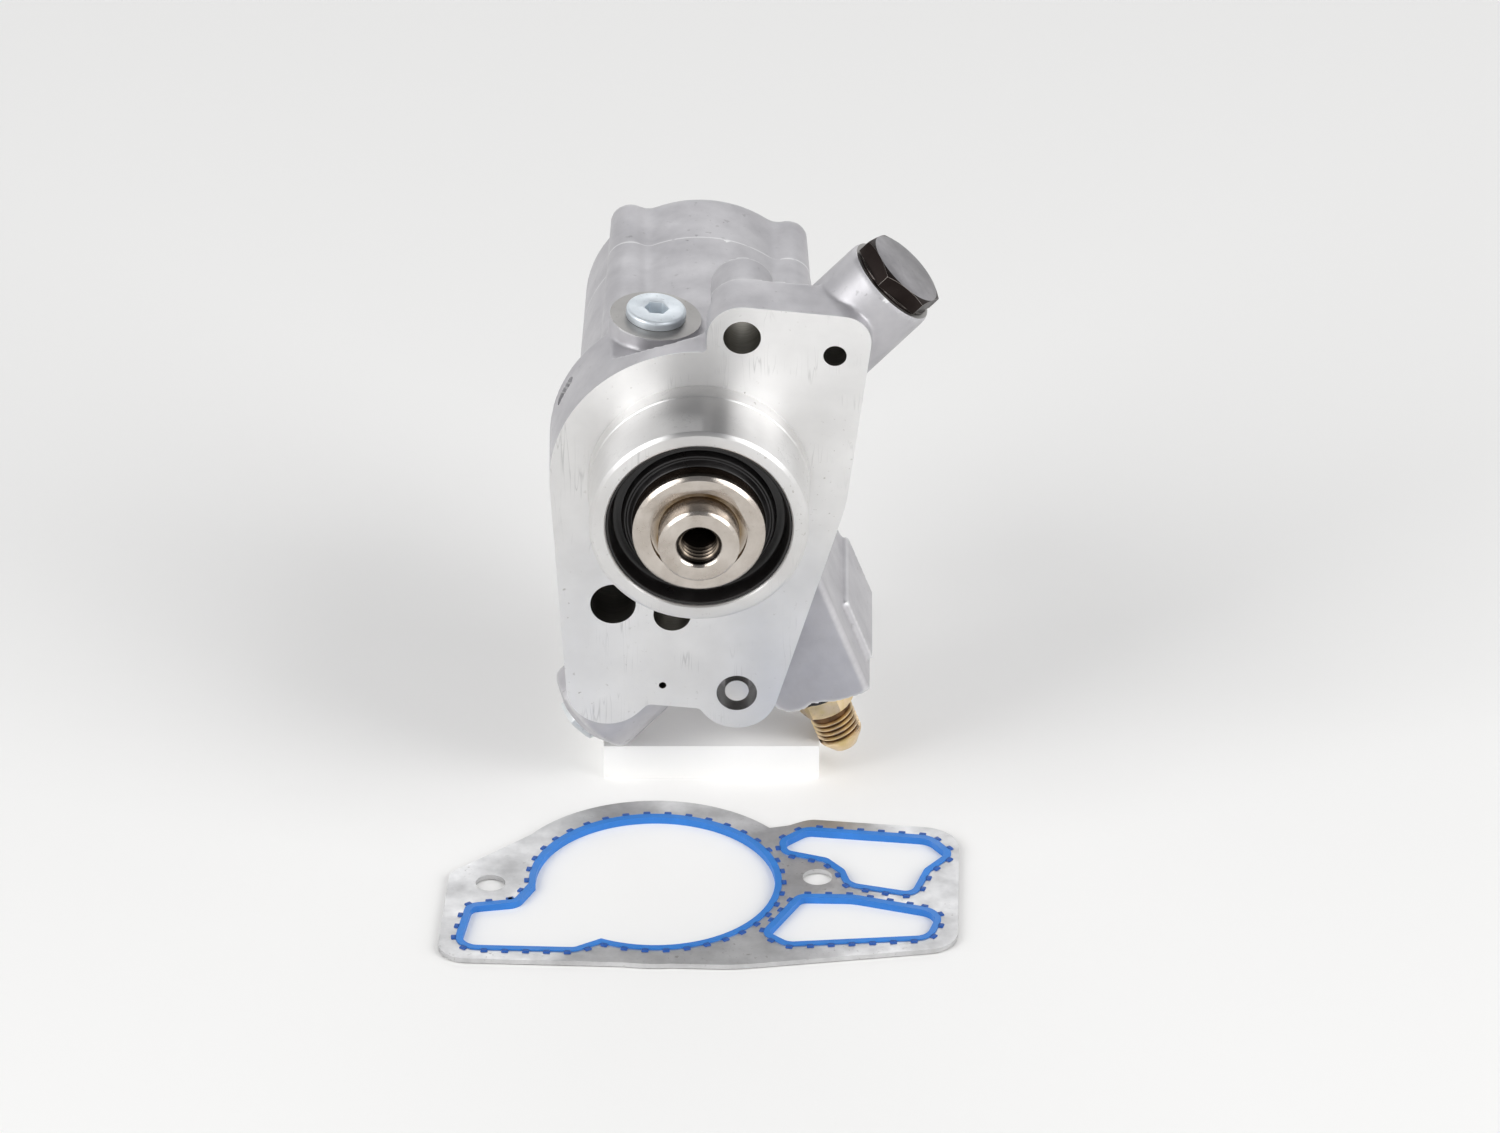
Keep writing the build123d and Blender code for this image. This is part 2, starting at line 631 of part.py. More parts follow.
def rear_cover():
    """Cast cover with the delivery gallery and the pockets of the check springs."""
    cover = drafted(JOINT_Y, REAR_Y)
    cover = chamfer(cover.faces().sort_by(Axis.Y)[-1].outer_wire().edges(), REAR_CHAMFER)
    gallery = Circle(PISTON_CIRCLE + GALLERY_HALF_WIDTH) - Circle(PISTON_CIRCLE - GALLERY_HALF_WIDTH)
    cover -= slab(gallery, JOINT_Y, JOINT_Y + GALLERY_DEPTH)
    for place in around(PISTON_COUNT, PISTON_CIRCLE):
        cover -= slab(spot(place, CHECK_POCKET_RADIUS), JOINT_Y, CHECK_POCKET_END_Y)
    head_seat = REAR_Y - SCREW_HEAD_HEIGHT - SCREW_HEAD_SINK
    for place in around(COLUMN_COUNT, COLUMN_CIRCLE, COLUMN_ANGLE):
        cover -= slab(spot(place, SCREW_RADIUS + SCREW_CLEARANCE), JOINT_Y, head_seat)
        cover -= slab(spot(place, SCREW_HEAD_RADIUS + SCREW_CLEARANCE), head_seat, REAR_Y)
    cover -= timing_pin_hole()
    return cover


def cover_screws():
    """Socket head cap screws that clamp the cover, plate and barrel to the housing."""
    head_seat = REAR_Y - SCREW_HEAD_HEIGHT - SCREW_HEAD_SINK
    head_top = REAR_Y - SCREW_HEAD_SINK
    socket = RegularPolygon(SCREW_SOCKET_AF / 2, 6, major_radius=False)
    screws = []
    for x, z in around(COLUMN_COUNT, COLUMN_CIRCLE, COLUMN_ANGLE):
        screw = slab(spot((x, z), SCREW_RADIUS), JOINT_Y - SCREW_ENGAGEMENT, head_seat)
        screw += slab(spot((x, z), SCREW_HEAD_RADIUS), head_seat, head_top)
        screw -= slab(Pos(x, z) * socket, head_top - SCREW_SOCKET_DEPTH, head_top)
        screws.append(screw)
    return screws


def joint_ring():
    """O-ring in the corner between the barrel stack, the housing mouth and the cover."""
    return corner_ring(Plane(origin=(0, JOINT_Y, 0), z_dir=(0, 1, 0)), BARREL_RADIUS, JOINT_BEVEL)


def drive_shaft():
    """Steel shaft with a tapped nose, a bearing journal and the inclined cam in one piece."""
    recess_y = COLLAR_Y + COLLAR_RECESS_DEPTH
    cam_reach = CAM_CENTRE_Y + ROTOR_RADIUS * tan(radians(CAM_ANGLE)) + CUT_PAST
    shaft = turned(
        (0, NOSE_TIP_Y),
        (NOSE_RADIUS - NOSE_CHAMFER, NOSE_TIP_Y),
        (NOSE_RADIUS, NOSE_TIP_Y + NOSE_CHAMFER),
        (NOSE_RADIUS, recess_y),
        (COLLAR_RECESS_RADIUS, recess_y),
        (COLLAR_RECESS_RADIUS, COLLAR_Y),
        (JOURNAL_RADIUS - COLLAR_CHAMFER, COLLAR_Y),
        (JOURNAL_RADIUS, COLLAR_Y + COLLAR_CHAMFER),
        (JOURNAL_RADIUS, ROTOR_FRONT_Y),
        (ROTOR_RADIUS, ROTOR_FRONT_Y),
        (ROTOR_RADIUS, cam_reach),
        (0, cam_reach),
    )
    cutter = 4 * ROTOR_RADIUS
    shaft -= cam_plane() * extrude(Rectangle(cutter, cutter), amount=cutter)
    shaft += turned(
        (0, ROTOR_FRONT_Y),
        (STUB_RADIUS, ROTOR_FRONT_Y),
        (STUB_RADIUS, STUB_END_Y - STUB_CHAMFER),
        (STUB_RADIUS - STUB_CHAMFER, STUB_END_Y),
        (0, STUB_END_Y),
    )
    sink = COUNTERSINK_RADIUS - THREAD_BORE_RADIUS
    shaft -= turned(
        (0, NOSE_TIP_Y),
        (COUNTERSINK_RADIUS, NOSE_TIP_Y),
        (THREAD_BORE_RADIUS, NOSE_TIP_Y + sink),
        (THREAD_BORE_RADIUS, NOSE_TIP_Y + THREAD_DEPTH),
        (0, NOSE_TIP_Y + THREAD_DEPTH + THREAD_BORE_RADIUS / 2),
    )
    return shaft


def seal_case():
    """Steel ring of the shaft seal, covered in rubber, pressed into the pilot."""
    outer = SEAL_BORE_RADIUS - SEAT
    rear = SEAL_FRONT_Y + SEAL_WIDTH
    return turned(
        (SEAL_LIP_ROOT_RADIUS, SEAL_FRONT_Y),
        (outer, SEAL_FRONT_Y),
        (outer, rear),
        (outer - SEAL_WALL, rear),
        (outer - SEAL_WALL, SEAL_FRONT_Y + SEAL_FACE),
        (SEAL_LIP_ROOT_RADIUS, SEAL_FRONT_Y + SEAL_FACE),
    )


def seal_lip():
    """Rubber lip that rides on the journal, with a groove for the garter spring."""
    contact = JOURNAL_RADIUS + RUNNING
    root = SEAL_LIP_ROOT_RADIUS
    middle = SEAL_FRONT_Y + SEAL_WIDTH / 2
    rear = SEAL_FRONT_Y + SEAL_WIDTH - SEAL_LIP_THICKNESS
    groove = contact + 2 * SEAL_LIP_THICKNESS
    return turned(
        (contact, SEAL_FRONT_Y),
        (root - SEAT, SEAL_FRONT_Y),
        (root - SEAT, SEAL_FRONT_Y + SEAL_FACE),
        (contact + SEAL_LIP_THICKNESS, middle),
        (contact + SEAL_LIP_THICKNESS, rear - 2 * GARTER_RADIUS),
        (groove, rear),
        (contact, rear),
        (contact + SEAL_LIP_THICKNESS / 2, middle),
    )


def garter_spring():
    plane = Plane(origin=(0, SEAL_FRONT_Y + SEAL_WIDTH / 2 + GARTER_RADIUS, 0), z_dir=(0, 1, 0))
    circle = JOURNAL_RADIUS + RUNNING + SEAL_LIP_THICKNESS + GARTER_RADIUS + SEAT
    return plane * Torus(circle, GARTER_RADIUS)


def front_bearing_ring():
    outer = BEARING_BORE_RADIUS - SEAT
    return turned(
        (BEARING_INNER_RADIUS, BEARING_FRONT_Y),
        (outer, BEARING_FRONT_Y),
        (outer, BEARING_REAR_Y),
        (BEARING_INNER_RADIUS, BEARING_REAR_Y),
    )


def roller_circle():
    return (JOURNAL_RADIUS + BEARING_INNER_RADIUS) / 2


def roller_middle():
    return (BEARING_FRONT_Y + BEARING_REAR_Y) / 2


def front_rollers():
    half = ROLLER_LENGTH / 2
    return [
        slab(spot(place, ROLLER_RADIUS), roller_middle() - half, roller_middle() + half)
        for place in around(ROLLER_COUNT, roller_circle())
    ]


def front_roller_cage():
    """Ring with one window for each roller."""
    half = ROLLER_LENGTH / 2 + ROLLER_CAGE_END
    outer = roller_circle() + ROLLER_CAGE_WALL / 2
    ring = Circle(outer) - Circle(outer - ROLLER_CAGE_WALL)
    cage = slab(ring, roller_middle() - half, roller_middle() + half)
    window_half = ROLLER_LENGTH / 2 + POCKET_GAP
    for place in around(ROLLER_COUNT, roller_circle()):
        window = spot(place, ROLLER_RADIUS + POCKET_GAP)
        cage -= slab(window, roller_middle() - window_half, roller_middle() + window_half)
    return cage


def thrust_plane():
    return Plane(origin=(0, CHAMBER_FRONT_Y + THRUST_WASHER_THICKNESS, 0), z_dir=(0, 1, 0))


def thrust_washer():
    """Hard washer between the housing and the thrust rollers."""
    inner = JOURNAL_RADIUS + SHAFT_HOLE_GAP
    outer = CHAMBER_RADIUS - SEAT
    front = CHAMBER_FRONT_Y
    rear = front + THRUST_WASHER_THICKNESS
    return turned((inner, front), (outer, front), (outer, rear), (inner, rear))


def flat_rollers(plane, count, circle, radius, length):
    """Rollers lying like spokes on a plane."""
    found = []
    lying = Pos(circle, 0, radius + RUNNING) * Rot(0, 90, 0) * Cylinder(radius, length)
    for step in range(count):
        found.append(plane * Rot(0, 0, 360 * step / count) * lying)
    return found


def flat_cage(plane, count, circle, radius, length, wall, inner, outer):
    """Flat ring with a window for each of the spoke rollers."""
    middle = radius + RUNNING
    cage = plane * extrude(Pos(0, 0, middle - wall / 2) * (Circle(outer) - Circle(inner)), amount=wall)
    for step in range(count):
        turn = Rot(0, 0, 360 * step / count)
        window = Box(length + 2 * POCKET_GAP, 2 * (radius + POCKET_GAP), 2 * wall)
        cage -= plane * turn * Pos(circle, 0, middle) * window
    return cage


def thrust_circle():
    return (JOURNAL_RADIUS + ROTOR_RADIUS) / 2


def thrust_rollers():
    return flat_rollers(
        thrust_plane(), THRUST_ROLLER_COUNT, thrust_circle(), THRUST_ROLLER_RADIUS, THRUST_ROLLER_LENGTH
    )


def thrust_cage():
    inner = JOURNAL_RADIUS + RUNNING
    outer = CHAMBER_RADIUS - RUNNING
    return flat_cage(
        thrust_plane(),
        THRUST_ROLLER_COUNT,
        thrust_circle(),
        THRUST_ROLLER_RADIUS,
        THRUST_ROLLER_LENGTH,
        THRUST_CAGE_WALL,
        inner,
        outer,
    )


def cam_plane():
    return Plane(origin=(0, CAM_CENTRE_Y, 0), z_dir=CAM_NORMAL)


def cam_circle():
    return (WOBBLE_BORE_RADIUS + WOBBLE_RADIUS) / 2


def cam_rollers():
    return flat_rollers(cam_plane(), CAM_ROLLER_COUNT, cam_circle(), CAM_ROLLER_RADIUS, CAM_ROLLER_LENGTH)


def cam_cage():
    return flat_cage(
        cam_plane(),
        CAM_ROLLER_COUNT,
        cam_circle(),
        CAM_ROLLER_RADIUS,
        CAM_ROLLER_LENGTH,
        CAM_CAGE_WALL,
        WOBBLE_BORE_RADIUS,
        WOBBLE_RADIUS,
    )


def wobble_plate():
    """Plate that the cam rocks and that pushes the pistons."""
    edge = WOBBLE_CHAMFER
    return turned_on(
        cam_plane(),
        (WOBBLE_BORE_RADIUS, WOBBLE_BASE),
        (WOBBLE_RADIUS, WOBBLE_BASE),
        (WOBBLE_RADIUS, WOBBLE_TOP - edge),
        (WOBBLE_RADIUS - edge, WOBBLE_TOP),
        (WOBBLE_BORE_RADIUS + edge, WOBBLE_TOP),
        (WOBBLE_BORE_RADIUS, WOBBLE_TOP - edge),
    )


def pistons():
    """Hollow pistons with round noses, all at the rear end of their stroke."""
    bore_end = PISTON_NOSE_Y - PISTON_RADIUS + PISTON_CROWN
    found = []
    for x, z in around(PISTON_COUNT, PISTON_CIRCLE):
        piston = slab(spot((x, z), PISTON_RADIUS), PISTON_NOSE_Y, PISTON_REAR_Y)
        piston += Pos(x, PISTON_NOSE_Y, z) * Sphere(PISTON_RADIUS)
        piston -= slab(spot((x, z), PISTON_BORE_RADIUS), bore_end, PISTON_REAR_Y)
        found.append(piston)
    return found


def coil(x, z, front_y, rear_y, radius):
    """Sleeve with the outer size of a closed coil spring."""
    return slab(Pos(x, z) * (Circle(radius) - Circle(radius - SPRING_WIRE)), front_y, rear_y)


def piston_springs():
    front = PISTON_NOSE_Y - PISTON_RADIUS + PISTON_CROWN
    return [
        coil(x, z, front, BARREL_REAR_Y, PISTON_SPRING_RADIUS)
        for x, z in around(PISTON_COUNT, PISTON_CIRCLE)
    ]


def barrel():
    """Steel block with the seven piston bores, held still in the housing."""
    outline = Circle(BARREL_RADIUS - SEAT) - Circle(BUSH_RADIUS + SEAT)
    for place in around(PISTON_COUNT, PISTON_CIRCLE):
        outline -= spot(place, PISTON_RADIUS + RUNNING)
    return slab(outline, BARREL_FRONT_Y, BARREL_REAR_Y) - timing_pin_hole()


def rear_bush():
    """Bronze bush in the barrel that carries the shaft's rear end."""
    front = STUB_END_Y - BUSH_LENGTH
    return slab(Circle(BUSH_RADIUS) - Circle(STUB_RADIUS + RUNNING), front, STUB_END_Y)


def check_seat_y():
    return JOINT_Y - CHECK_SEAT_DEPTH


def check_plate():
    """Plate behind the barrel with one ball seat for each piston."""
    plate = slab(Circle(BARREL_RADIUS - SEAT), BARREL_REAR_Y, JOINT_Y)
    for place in around(PISTON_COUNT, PISTON_CIRCLE):
        plate -= slab(spot(place, CHECK_HOLE_RADIUS), BARREL_REAR_Y, check_seat_y())
        plate -= slab(spot(place, CHECK_POCKET_RADIUS), check_seat_y(), JOINT_Y)
    return plate - timing_pin_hole()


def check_ball_y():
    """Centre of a ball that rests on the edge of its hole."""
    return check_seat_y() + (CHECK_BALL_RADIUS**2 - CHECK_HOLE_RADIUS**2) ** 0.5 + SEAT


def check_balls():
    return [
        Pos(x, check_ball_y(), z) * Sphere(CHECK_BALL_RADIUS)
        for x, z in around(PISTON_COUNT, PISTON_CIRCLE)
    ]


def check_springs():
    inner = CHECK_SPRING_RADIUS - SPRING_WIRE
    front = check_ball_y() + (CHECK_BALL_RADIUS**2 - inner**2) ** 0.5 + SEAT
    return [
        coil(x, z, front, CHECK_POCKET_END_Y, CHECK_SPRING_RADIUS)
        for x, z in around(PISTON_COUNT, PISTON_CIRCLE)
    ]


def timing_pin_place():
    return around(1, TIMING_PIN_CIRCLE, 180 / PISTON_COUNT)[0]


def timing_pin_hole():
    front = BARREL_REAR_Y - TIMING_PIN_DEPTH
    return slab(spot(timing_pin_place(), TIMING_PIN_RADIUS + SEAT), front, JOINT_Y + TIMING_PIN_DEPTH)


def timing_pin():
    """Dowel that lines up barrel, plate and cover."""
    front = BARREL_REAR_Y - TIMING_PIN_DEPTH + SEAT
    return slab(spot(timing_pin_place(), TIMING_PIN_RADIUS), front, JOINT_Y + TIMING_PIN_DEPTH - SEAT)


def top_plug_bore():
    radius = TOP_PLUG_SHANK_RADIUS + SEAT
    depth = TOP_PLUG_SHANK_LENGTH + TOP_PLUG_BORE_ROOM
    mouth = radius + TOP_PLUG_BEVEL
    return turned_on(
        top_plane(TOP_BOSS_HEIGHT),
        (0, -depth),
        (radius, -depth),
        (radius, radius - mouth),
        (mouth, 0),
        (0, 0),
    )


def top_plug():
    """Zinc-plated plug with a round head and a hexagon socket."""
    plane = top_plane(TOP_BOSS_HEIGHT)
    head = TOP_PLUG_HEAD_HEIGHT
    plug = turned_on(
        plane,
        (0, -TOP_PLUG_SHANK_LENGTH),
        (TOP_PLUG_SHANK_RADIUS, -TOP_PLUG_SHANK_LENGTH),
        (TOP_PLUG_SHANK_RADIUS, 0),
        (TOP_PLUG_HEAD_RADIUS, 0),
        (TOP_PLUG_HEAD_RADIUS, head - PLUG_HEAD_CHAMFER),
        (TOP_PLUG_HEAD_RADIUS - PLUG_HEAD_CHAMFER, head),
        (0, head),
    )
    socket = RegularPolygon(TOP_PLUG_SOCKET_AF / 2, 6, major_radius=False)
    floor = head - TOP_PLUG_SOCKET_DEPTH
    return plug - plane * extrude(Pos(0, 0, floor) * socket, amount=TOP_PLUG_SOCKET_DEPTH)


def port_plug(plane, af, head, collar_radius, shank_radius, cut):
    """Hexagon plug with a round collar under its head and chamfered corners."""
    collar = PLUG_COLLAR
    top = collar + head
    corner = af / 2 / cos(pi / 6)
    hexagon = RegularPolygon(af / 2, 6, major_radius=False)
    block = plane * extrude(Pos(0, 0, collar) * hexagon, amount=head)
    block &= turned_on(plane, (0, 0), (corner, 0), (corner, top - cut), (corner - 2 * cut, top), (0, top))
    shank = turned_on(
        plane,
        (0, -PLUG_SHANK_LENGTH),
        (shank_radius, -PLUG_SHANK_LENGTH),
        (shank_radius, 0),
        (collar_radius, 0),
        (collar_radius, collar),
        (0, collar),
    )
    return block + shank


def right_port_plug():
    return port_plug(
        RIGHT_PORT,
        RIGHT_PLUG_AF,
        RIGHT_PLUG_HEAD,
        RIGHT_PLUG_COLLAR_RADIUS,
        RIGHT_PLUG_SHANK_RADIUS,
        RIGHT_PLUG_CORNER_CUT,
    )


def left_port_plug():
    return port_plug(
        LEFT_PORT,
        LEFT_PLUG_AF,
        LEFT_PLUG_HEAD,
        LEFT_PLUG_COLLAR_RADIUS,
        LEFT_PLUG_SHANK_RADIUS,
        LEFT_PLUG_CORNER_CUT,
    )


def fitting_bore():
    radius = FITTING_STEM_RADIUS + SEAT
    depth = FITTING_STEM_LENGTH + FITTING_BORE_ROOM
    mouth = radius + FITTING_BEVEL
    return turned_on(
        fitting_plane(), (0, -depth), (radius, -depth), (radius, radius - mouth), (mouth, 0), (0, 0)
    )


def flare_fitting():
    """Plated steel fitting: threaded stem, hexagon, outer thread and 37 degree flare nose."""
    plane = fitting_plane()
    hex_end = FITTING_HEX_LENGTH
    neck_end = hex_end + FITTING_NECK_LENGTH
    thread_end = neck_end + FITTING_THREAD_LENGTH
    tip = thread_end + FITTING_NOSE_LENGTH
    step = FITTING_NOSE_STEP
    shelf = FITTING_NOSE_RADIUS + (FITTING_NOSE_LENGTH - step) * tan(radians(FLARE_ANGLE))
    body = turned_on(
        plane,
        (0, -FITTING_STEM_LENGTH),
        (FITTING_STEM_RADIUS, -FITTING_STEM_LENGTH),
        (FITTING_STEM_RADIUS, 0),
        (FITTING_NECK_RADIUS, 0),
        (FITTING_NECK_RADIUS, neck_end),
        (FITTING_THREAD_RADIUS, neck_end),
        (FITTING_THREAD_RADIUS, thread_end),
        (shelf, thread_end + step),
        (FITTING_NOSE_RADIUS, tip),
        (0, tip),
    )
    body += plane * extrude(RegularPolygon(FITTING_HEX_AF / 2, 6, major_radius=False), amount=hex_end)
    hollow = Pos(0, 0, -FITTING_STEM_LENGTH) * Circle(FITTING_BORE_RADIUS)
    return body - plane * extrude(hollow, amount=FITTING_STEM_LENGTH + tip)


def check_pin():
    """Steel pin that closes the cross hole in the right lobe."""
    return slab(spot(PIN_HOLE_AT, PIN_RADIUS), PIN_RECESS, PIN_RECESS + PIN_LENGTH)


def rounded(*corners):
    """Closed outline through (x, y, radius) corners."""
    points = [(x, y) for x, y, radius in corners]
    radii = [radius for x, y, radius in corners]
    return make_face(FilletPolyline(*points, radius=radii, close=True))


def left_of_ring(x, y, *radius):
    return (x - GASKET_MAIN_RADIUS, y, *radius)


def right_of_ring(x, y, *radius):
    return (x + GASKET_MAIN_RADIUS, y, *radius)


def gasket_outline():
    """Flange face turned over: bolt ears left and right of the round ring."""
    left = [left_of_ring(*corner) for corner in GASKET_LEFT_PLATE]
    right = [right_of_ring(*corner) for corner in GASKET_RIGHT_PLATE]
    plate = rounded(*left, *right)
    return plate + Circle(GASKET_RING_RADIUS)


def gasket_openings():
    """Inner edges of the three sealing beads, seen from above."""
    lobe = rounded(*[left_of_ring(*corner) for corner in GASKET_LEFT_LOBE])
    far = rounded(*[right_of_ring(*corner) for corner in GASKET_FAR_OPENING])
    near = rounded(*[right_of_ring(*corner) for corner in GASKET_NEAR_OPENING])
    return Circle(GASKET_MAIN_RADIUS) + lobe, far, near


def on_floor(outline, low, high):
    plane = Plane(origin=(GASKET_AT[0], GASKET_AT[1], FLOOR_Z + low))
    return extrude(plane * outline, amount=high - low, dir=(0, 0, 1))


def gasket_carrier():
    """Pressed metal sheet with bolt holes and the three openings that hold the beads."""
    sheet = gasket_outline()
    for place in (left_of_ring(*GASKET_LEFT_HOLE), right_of_ring(*GASKET_RIGHT_HOLE)):
        sheet -= spot(place, GASKET_HOLE_RADIUS)
    for opening in gasket_openings():
        sheet -= offset(opening, BEAD_WIDTH)
    return on_floor(sheet, BEAD_PROUD, BEAD_PROUD + GASKET_THICKNESS)


def gasket_beads():
    """Rubber beads moulded on the edges of the openings, standing proud on both faces."""
    height = GASKET_THICKNESS + 2 * BEAD_PROUD
    return [on_floor(offset(opening, BEAD_WIDTH) - opening, 0, height) for opening in gasket_openings()]


PARTS = {
    "pump_housing": pump_housing(),
    "rear_cover": rear_cover(),
    "cover_screws": cover_screws(),
    "cover_o_ring": joint_ring(),
    "drive_shaft": drive_shaft(),
    "seal_case": seal_case(),
    "seal_lip": seal_lip(),
    "seal_garter_spring": garter_spring(),
    "front_bearing_ring": front_bearing_ring(),
    "front_rollers": front_rollers(),
    "front_roller_cage": front_roller_cage(),
    "thrust_washer": thrust_washer(),
    "thrust_rollers": thrust_rollers(),
    "thrust_cage": thrust_cage(),
    "cam_rollers": cam_rollers(),
    "cam_cage": cam_cage(),
    "wobble_plate": wobble_plate(),
    "pistons": pistons(),
    "piston_springs": piston_springs(),
    "barrel": barrel(),
    "rear_bush": rear_bush(),
    "check_plate": check_plate(),
    "check_balls": check_balls(),
    "check_springs": check_springs(),
    "timing_pin": timing_pin(),
    "top_plug": top_plug(),
    "top_plug_o_ring": corner_ring(top_plane(TOP_BOSS_HEIGHT), TOP_PLUG_SHANK_RADIUS, TOP_PLUG_BEVEL),
    "right_port_plug": right_port_plug(),
    "right_port_o_ring": corner_ring(RIGHT_PORT, RIGHT_PLUG_SHANK_RADIUS, RIGHT_PLUG_BEVEL),
    "left_port_plug": left_port_plug(),
    "left_port_o_ring": corner_ring(LEFT_PORT, LEFT_PLUG_SHANK_RADIUS, LEFT_PLUG_BEVEL),
    "flare_fitting": flare_fitting(),
    "fitting_o_ring": corner_ring(fitting_plane(), FITTING_STEM_RADIUS, FITTING_BEVEL),
    "check_pin": check_pin(),
    "gasket_carrier": gasket_carrier(),
    "gasket_beads": gasket_beads(),
}

for name, shape in PARTS.items():
    pieces = shape if isinstance(shape, list) else [shape]
    solids = [solid for piece in pieces for solid in piece.solids()]
    export_step(Compound(children=solids), f"parts/{name}.step")
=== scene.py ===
import bpy
import bmesh
from math import cos, hypot, pi, radians, sin
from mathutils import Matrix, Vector


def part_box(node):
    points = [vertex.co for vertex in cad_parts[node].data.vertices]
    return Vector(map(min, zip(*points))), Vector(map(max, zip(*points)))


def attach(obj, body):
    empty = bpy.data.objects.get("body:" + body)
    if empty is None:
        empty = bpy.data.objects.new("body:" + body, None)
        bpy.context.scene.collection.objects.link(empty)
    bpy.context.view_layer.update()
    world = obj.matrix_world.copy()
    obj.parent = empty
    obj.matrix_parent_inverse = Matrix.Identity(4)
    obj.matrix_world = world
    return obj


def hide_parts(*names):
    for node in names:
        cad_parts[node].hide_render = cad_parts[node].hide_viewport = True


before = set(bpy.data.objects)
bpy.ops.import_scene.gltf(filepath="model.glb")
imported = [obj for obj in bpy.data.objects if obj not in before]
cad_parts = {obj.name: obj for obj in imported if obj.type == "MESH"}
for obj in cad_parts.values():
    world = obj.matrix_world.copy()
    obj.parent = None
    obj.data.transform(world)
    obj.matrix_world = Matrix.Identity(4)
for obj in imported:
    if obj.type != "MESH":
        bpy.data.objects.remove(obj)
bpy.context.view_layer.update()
scene = bpy.context.scene

# Camera
# A long lens looks down on the pump from 32 degrees above, square to the flange.
# The picture is 1500 x 1133, and 3.594 of its pixels make a millimetre at the flange. The camera's
# distance and far limit are in metres.
MM = 0.001
PICTURE_WIDTH = 1500
PICTURE_HEIGHT = 1133
PIXELS_PER_MM = 3.594
AXIS_PIXEL = (699.0, 479.8)
CAMERA_PITCH = 31.8
CAMERA_DISTANCE = 12.0
CAMERA_FAR = 100.0
SENSOR_WIDTH = 36.0


def mm(*point):
    """A point given in millimetres, in metres."""
    return Vector(point) * MM


view_up = Vector((0, sin(radians(CAMERA_PITCH)), cos(radians(CAMERA_PITCH))))
view_along = Vector((0, cos(radians(CAMERA_PITCH)), -sin(radians(CAMERA_PITCH))))
middle_right = (PICTURE_WIDTH / 2 - AXIS_PIXEL[0]) / PIXELS_PER_MM
middle_down = (PICTURE_HEIGHT / 2 - AXIS_PIXEL[1]) / PIXELS_PER_MM
target = mm(middle_right, 0, 0) - view_up * middle_down * MM

camera_data = bpy.data.cameras.new("camera")
camera_data.sensor_width = SENSOR_WIDTH
camera_data.lens = SENSOR_WIDTH * CAMERA_DISTANCE * PIXELS_PER_MM / (PICTURE_WIDTH * MM)
camera_data.clip_end = CAMERA_FAR
camera = bpy.data.objects.new("camera", camera_data)
scene.collection.objects.link(camera)
camera.location = target - view_along * CAMERA_DISTANCE
camera.rotation_euler = (radians(90 - CAMERA_PITCH), 0, 0)
scene.camera = camera
scene.view_settings.view_transform = "Standard"

# Floor and rest block
# A plain pale sheet, 8 m wide, that takes the soft shadows, and a white block under the pump. Neither is
# part of it.
FLOOR_Z = -106.2
FLOOR_SIZE = 8.0
REST_BLOCK = (3.4, 53.0, -100.9)
REST_BLOCK_SIZE = (60.2, 80.0, 10.6)
PAPER_WHITE = (0.93, 0.925, 0.912)


def select_only(*objects):
    """Selects these objects and makes the first one active."""
    bpy.ops.object.select_all(action="DESELECT")
    for item in objects:
        item.select_set(True)
    bpy.context.view_layer.objects.active = objects[0]


def new_material(name, color=(0.8, 0.8, 0.8), roughness=0.5, metallic=0.0):
    """Material with a Principled BSDF, and its node tree and shader."""
    material = bpy.data.materials.new(name)
    material.use_nodes = True
    shader = material.node_tree.nodes["Principled BSDF"]
    shader.inputs["Base Color"].default_value = (*color, 1)
    shader.inputs["Roughness"].default_value = roughness
    shader.inputs["Metallic"].default_value = metallic
    material.diffuse_color = (*color, 1)
    return material, material.node_tree, shader


def coat(piece, material):
    """Gives a piece this material alone."""
    piece.data.materials.clear()
    piece.data.materials.append(material)


def add_box(name, centre, size):
    """Box from its centre and its three sides, in millimetres."""
    bpy.ops.mesh.primitive_cube_add(size=1, location=mm(*centre), scale=mm(*size))
    box = bpy.context.object
    box.name = name
    bpy.ops.object.transform_apply(location=True, rotation=True, scale=True)
    return box


bpy.ops.object.select_all(action="DESELECT")
bpy.ops.mesh.primitive_plane_add(size=FLOOR_SIZE, location=mm(0, 0, FLOOR_Z))
floor = bpy.context.object
floor.name = "floor"
paper, _, paper_shader = new_material("floor_paper", PAPER_WHITE, 0.9)
paper_shader.inputs["Specular IOR Level"].default_value = 0.1
coat(floor, paper)
rest_block = add_box("rest_block", REST_BLOCK, REST_BLOCK_SIZE)
coat(rest_block, paper)

# Studio light
# Two soft boxes at the upper left and right with a darker gap between them, and a pale room that is
# brightest near the floor. They give turned metal its bright and dark bands.
ROOM_TOP = (0.19, 0.192, 0.2, 1)
ROOM_SIDE = (1.12, 1.12, 1.12, 1)
ROOM_STRENGTH = 1.0
ROOM_SIDE_UP_TO = 0.1
ROOM_TOP_FROM = 0.75
SOFT_BOX_SIZE = (0.9, 1.4)
BACK_BOX_SIZE = (1.6, 0.5)

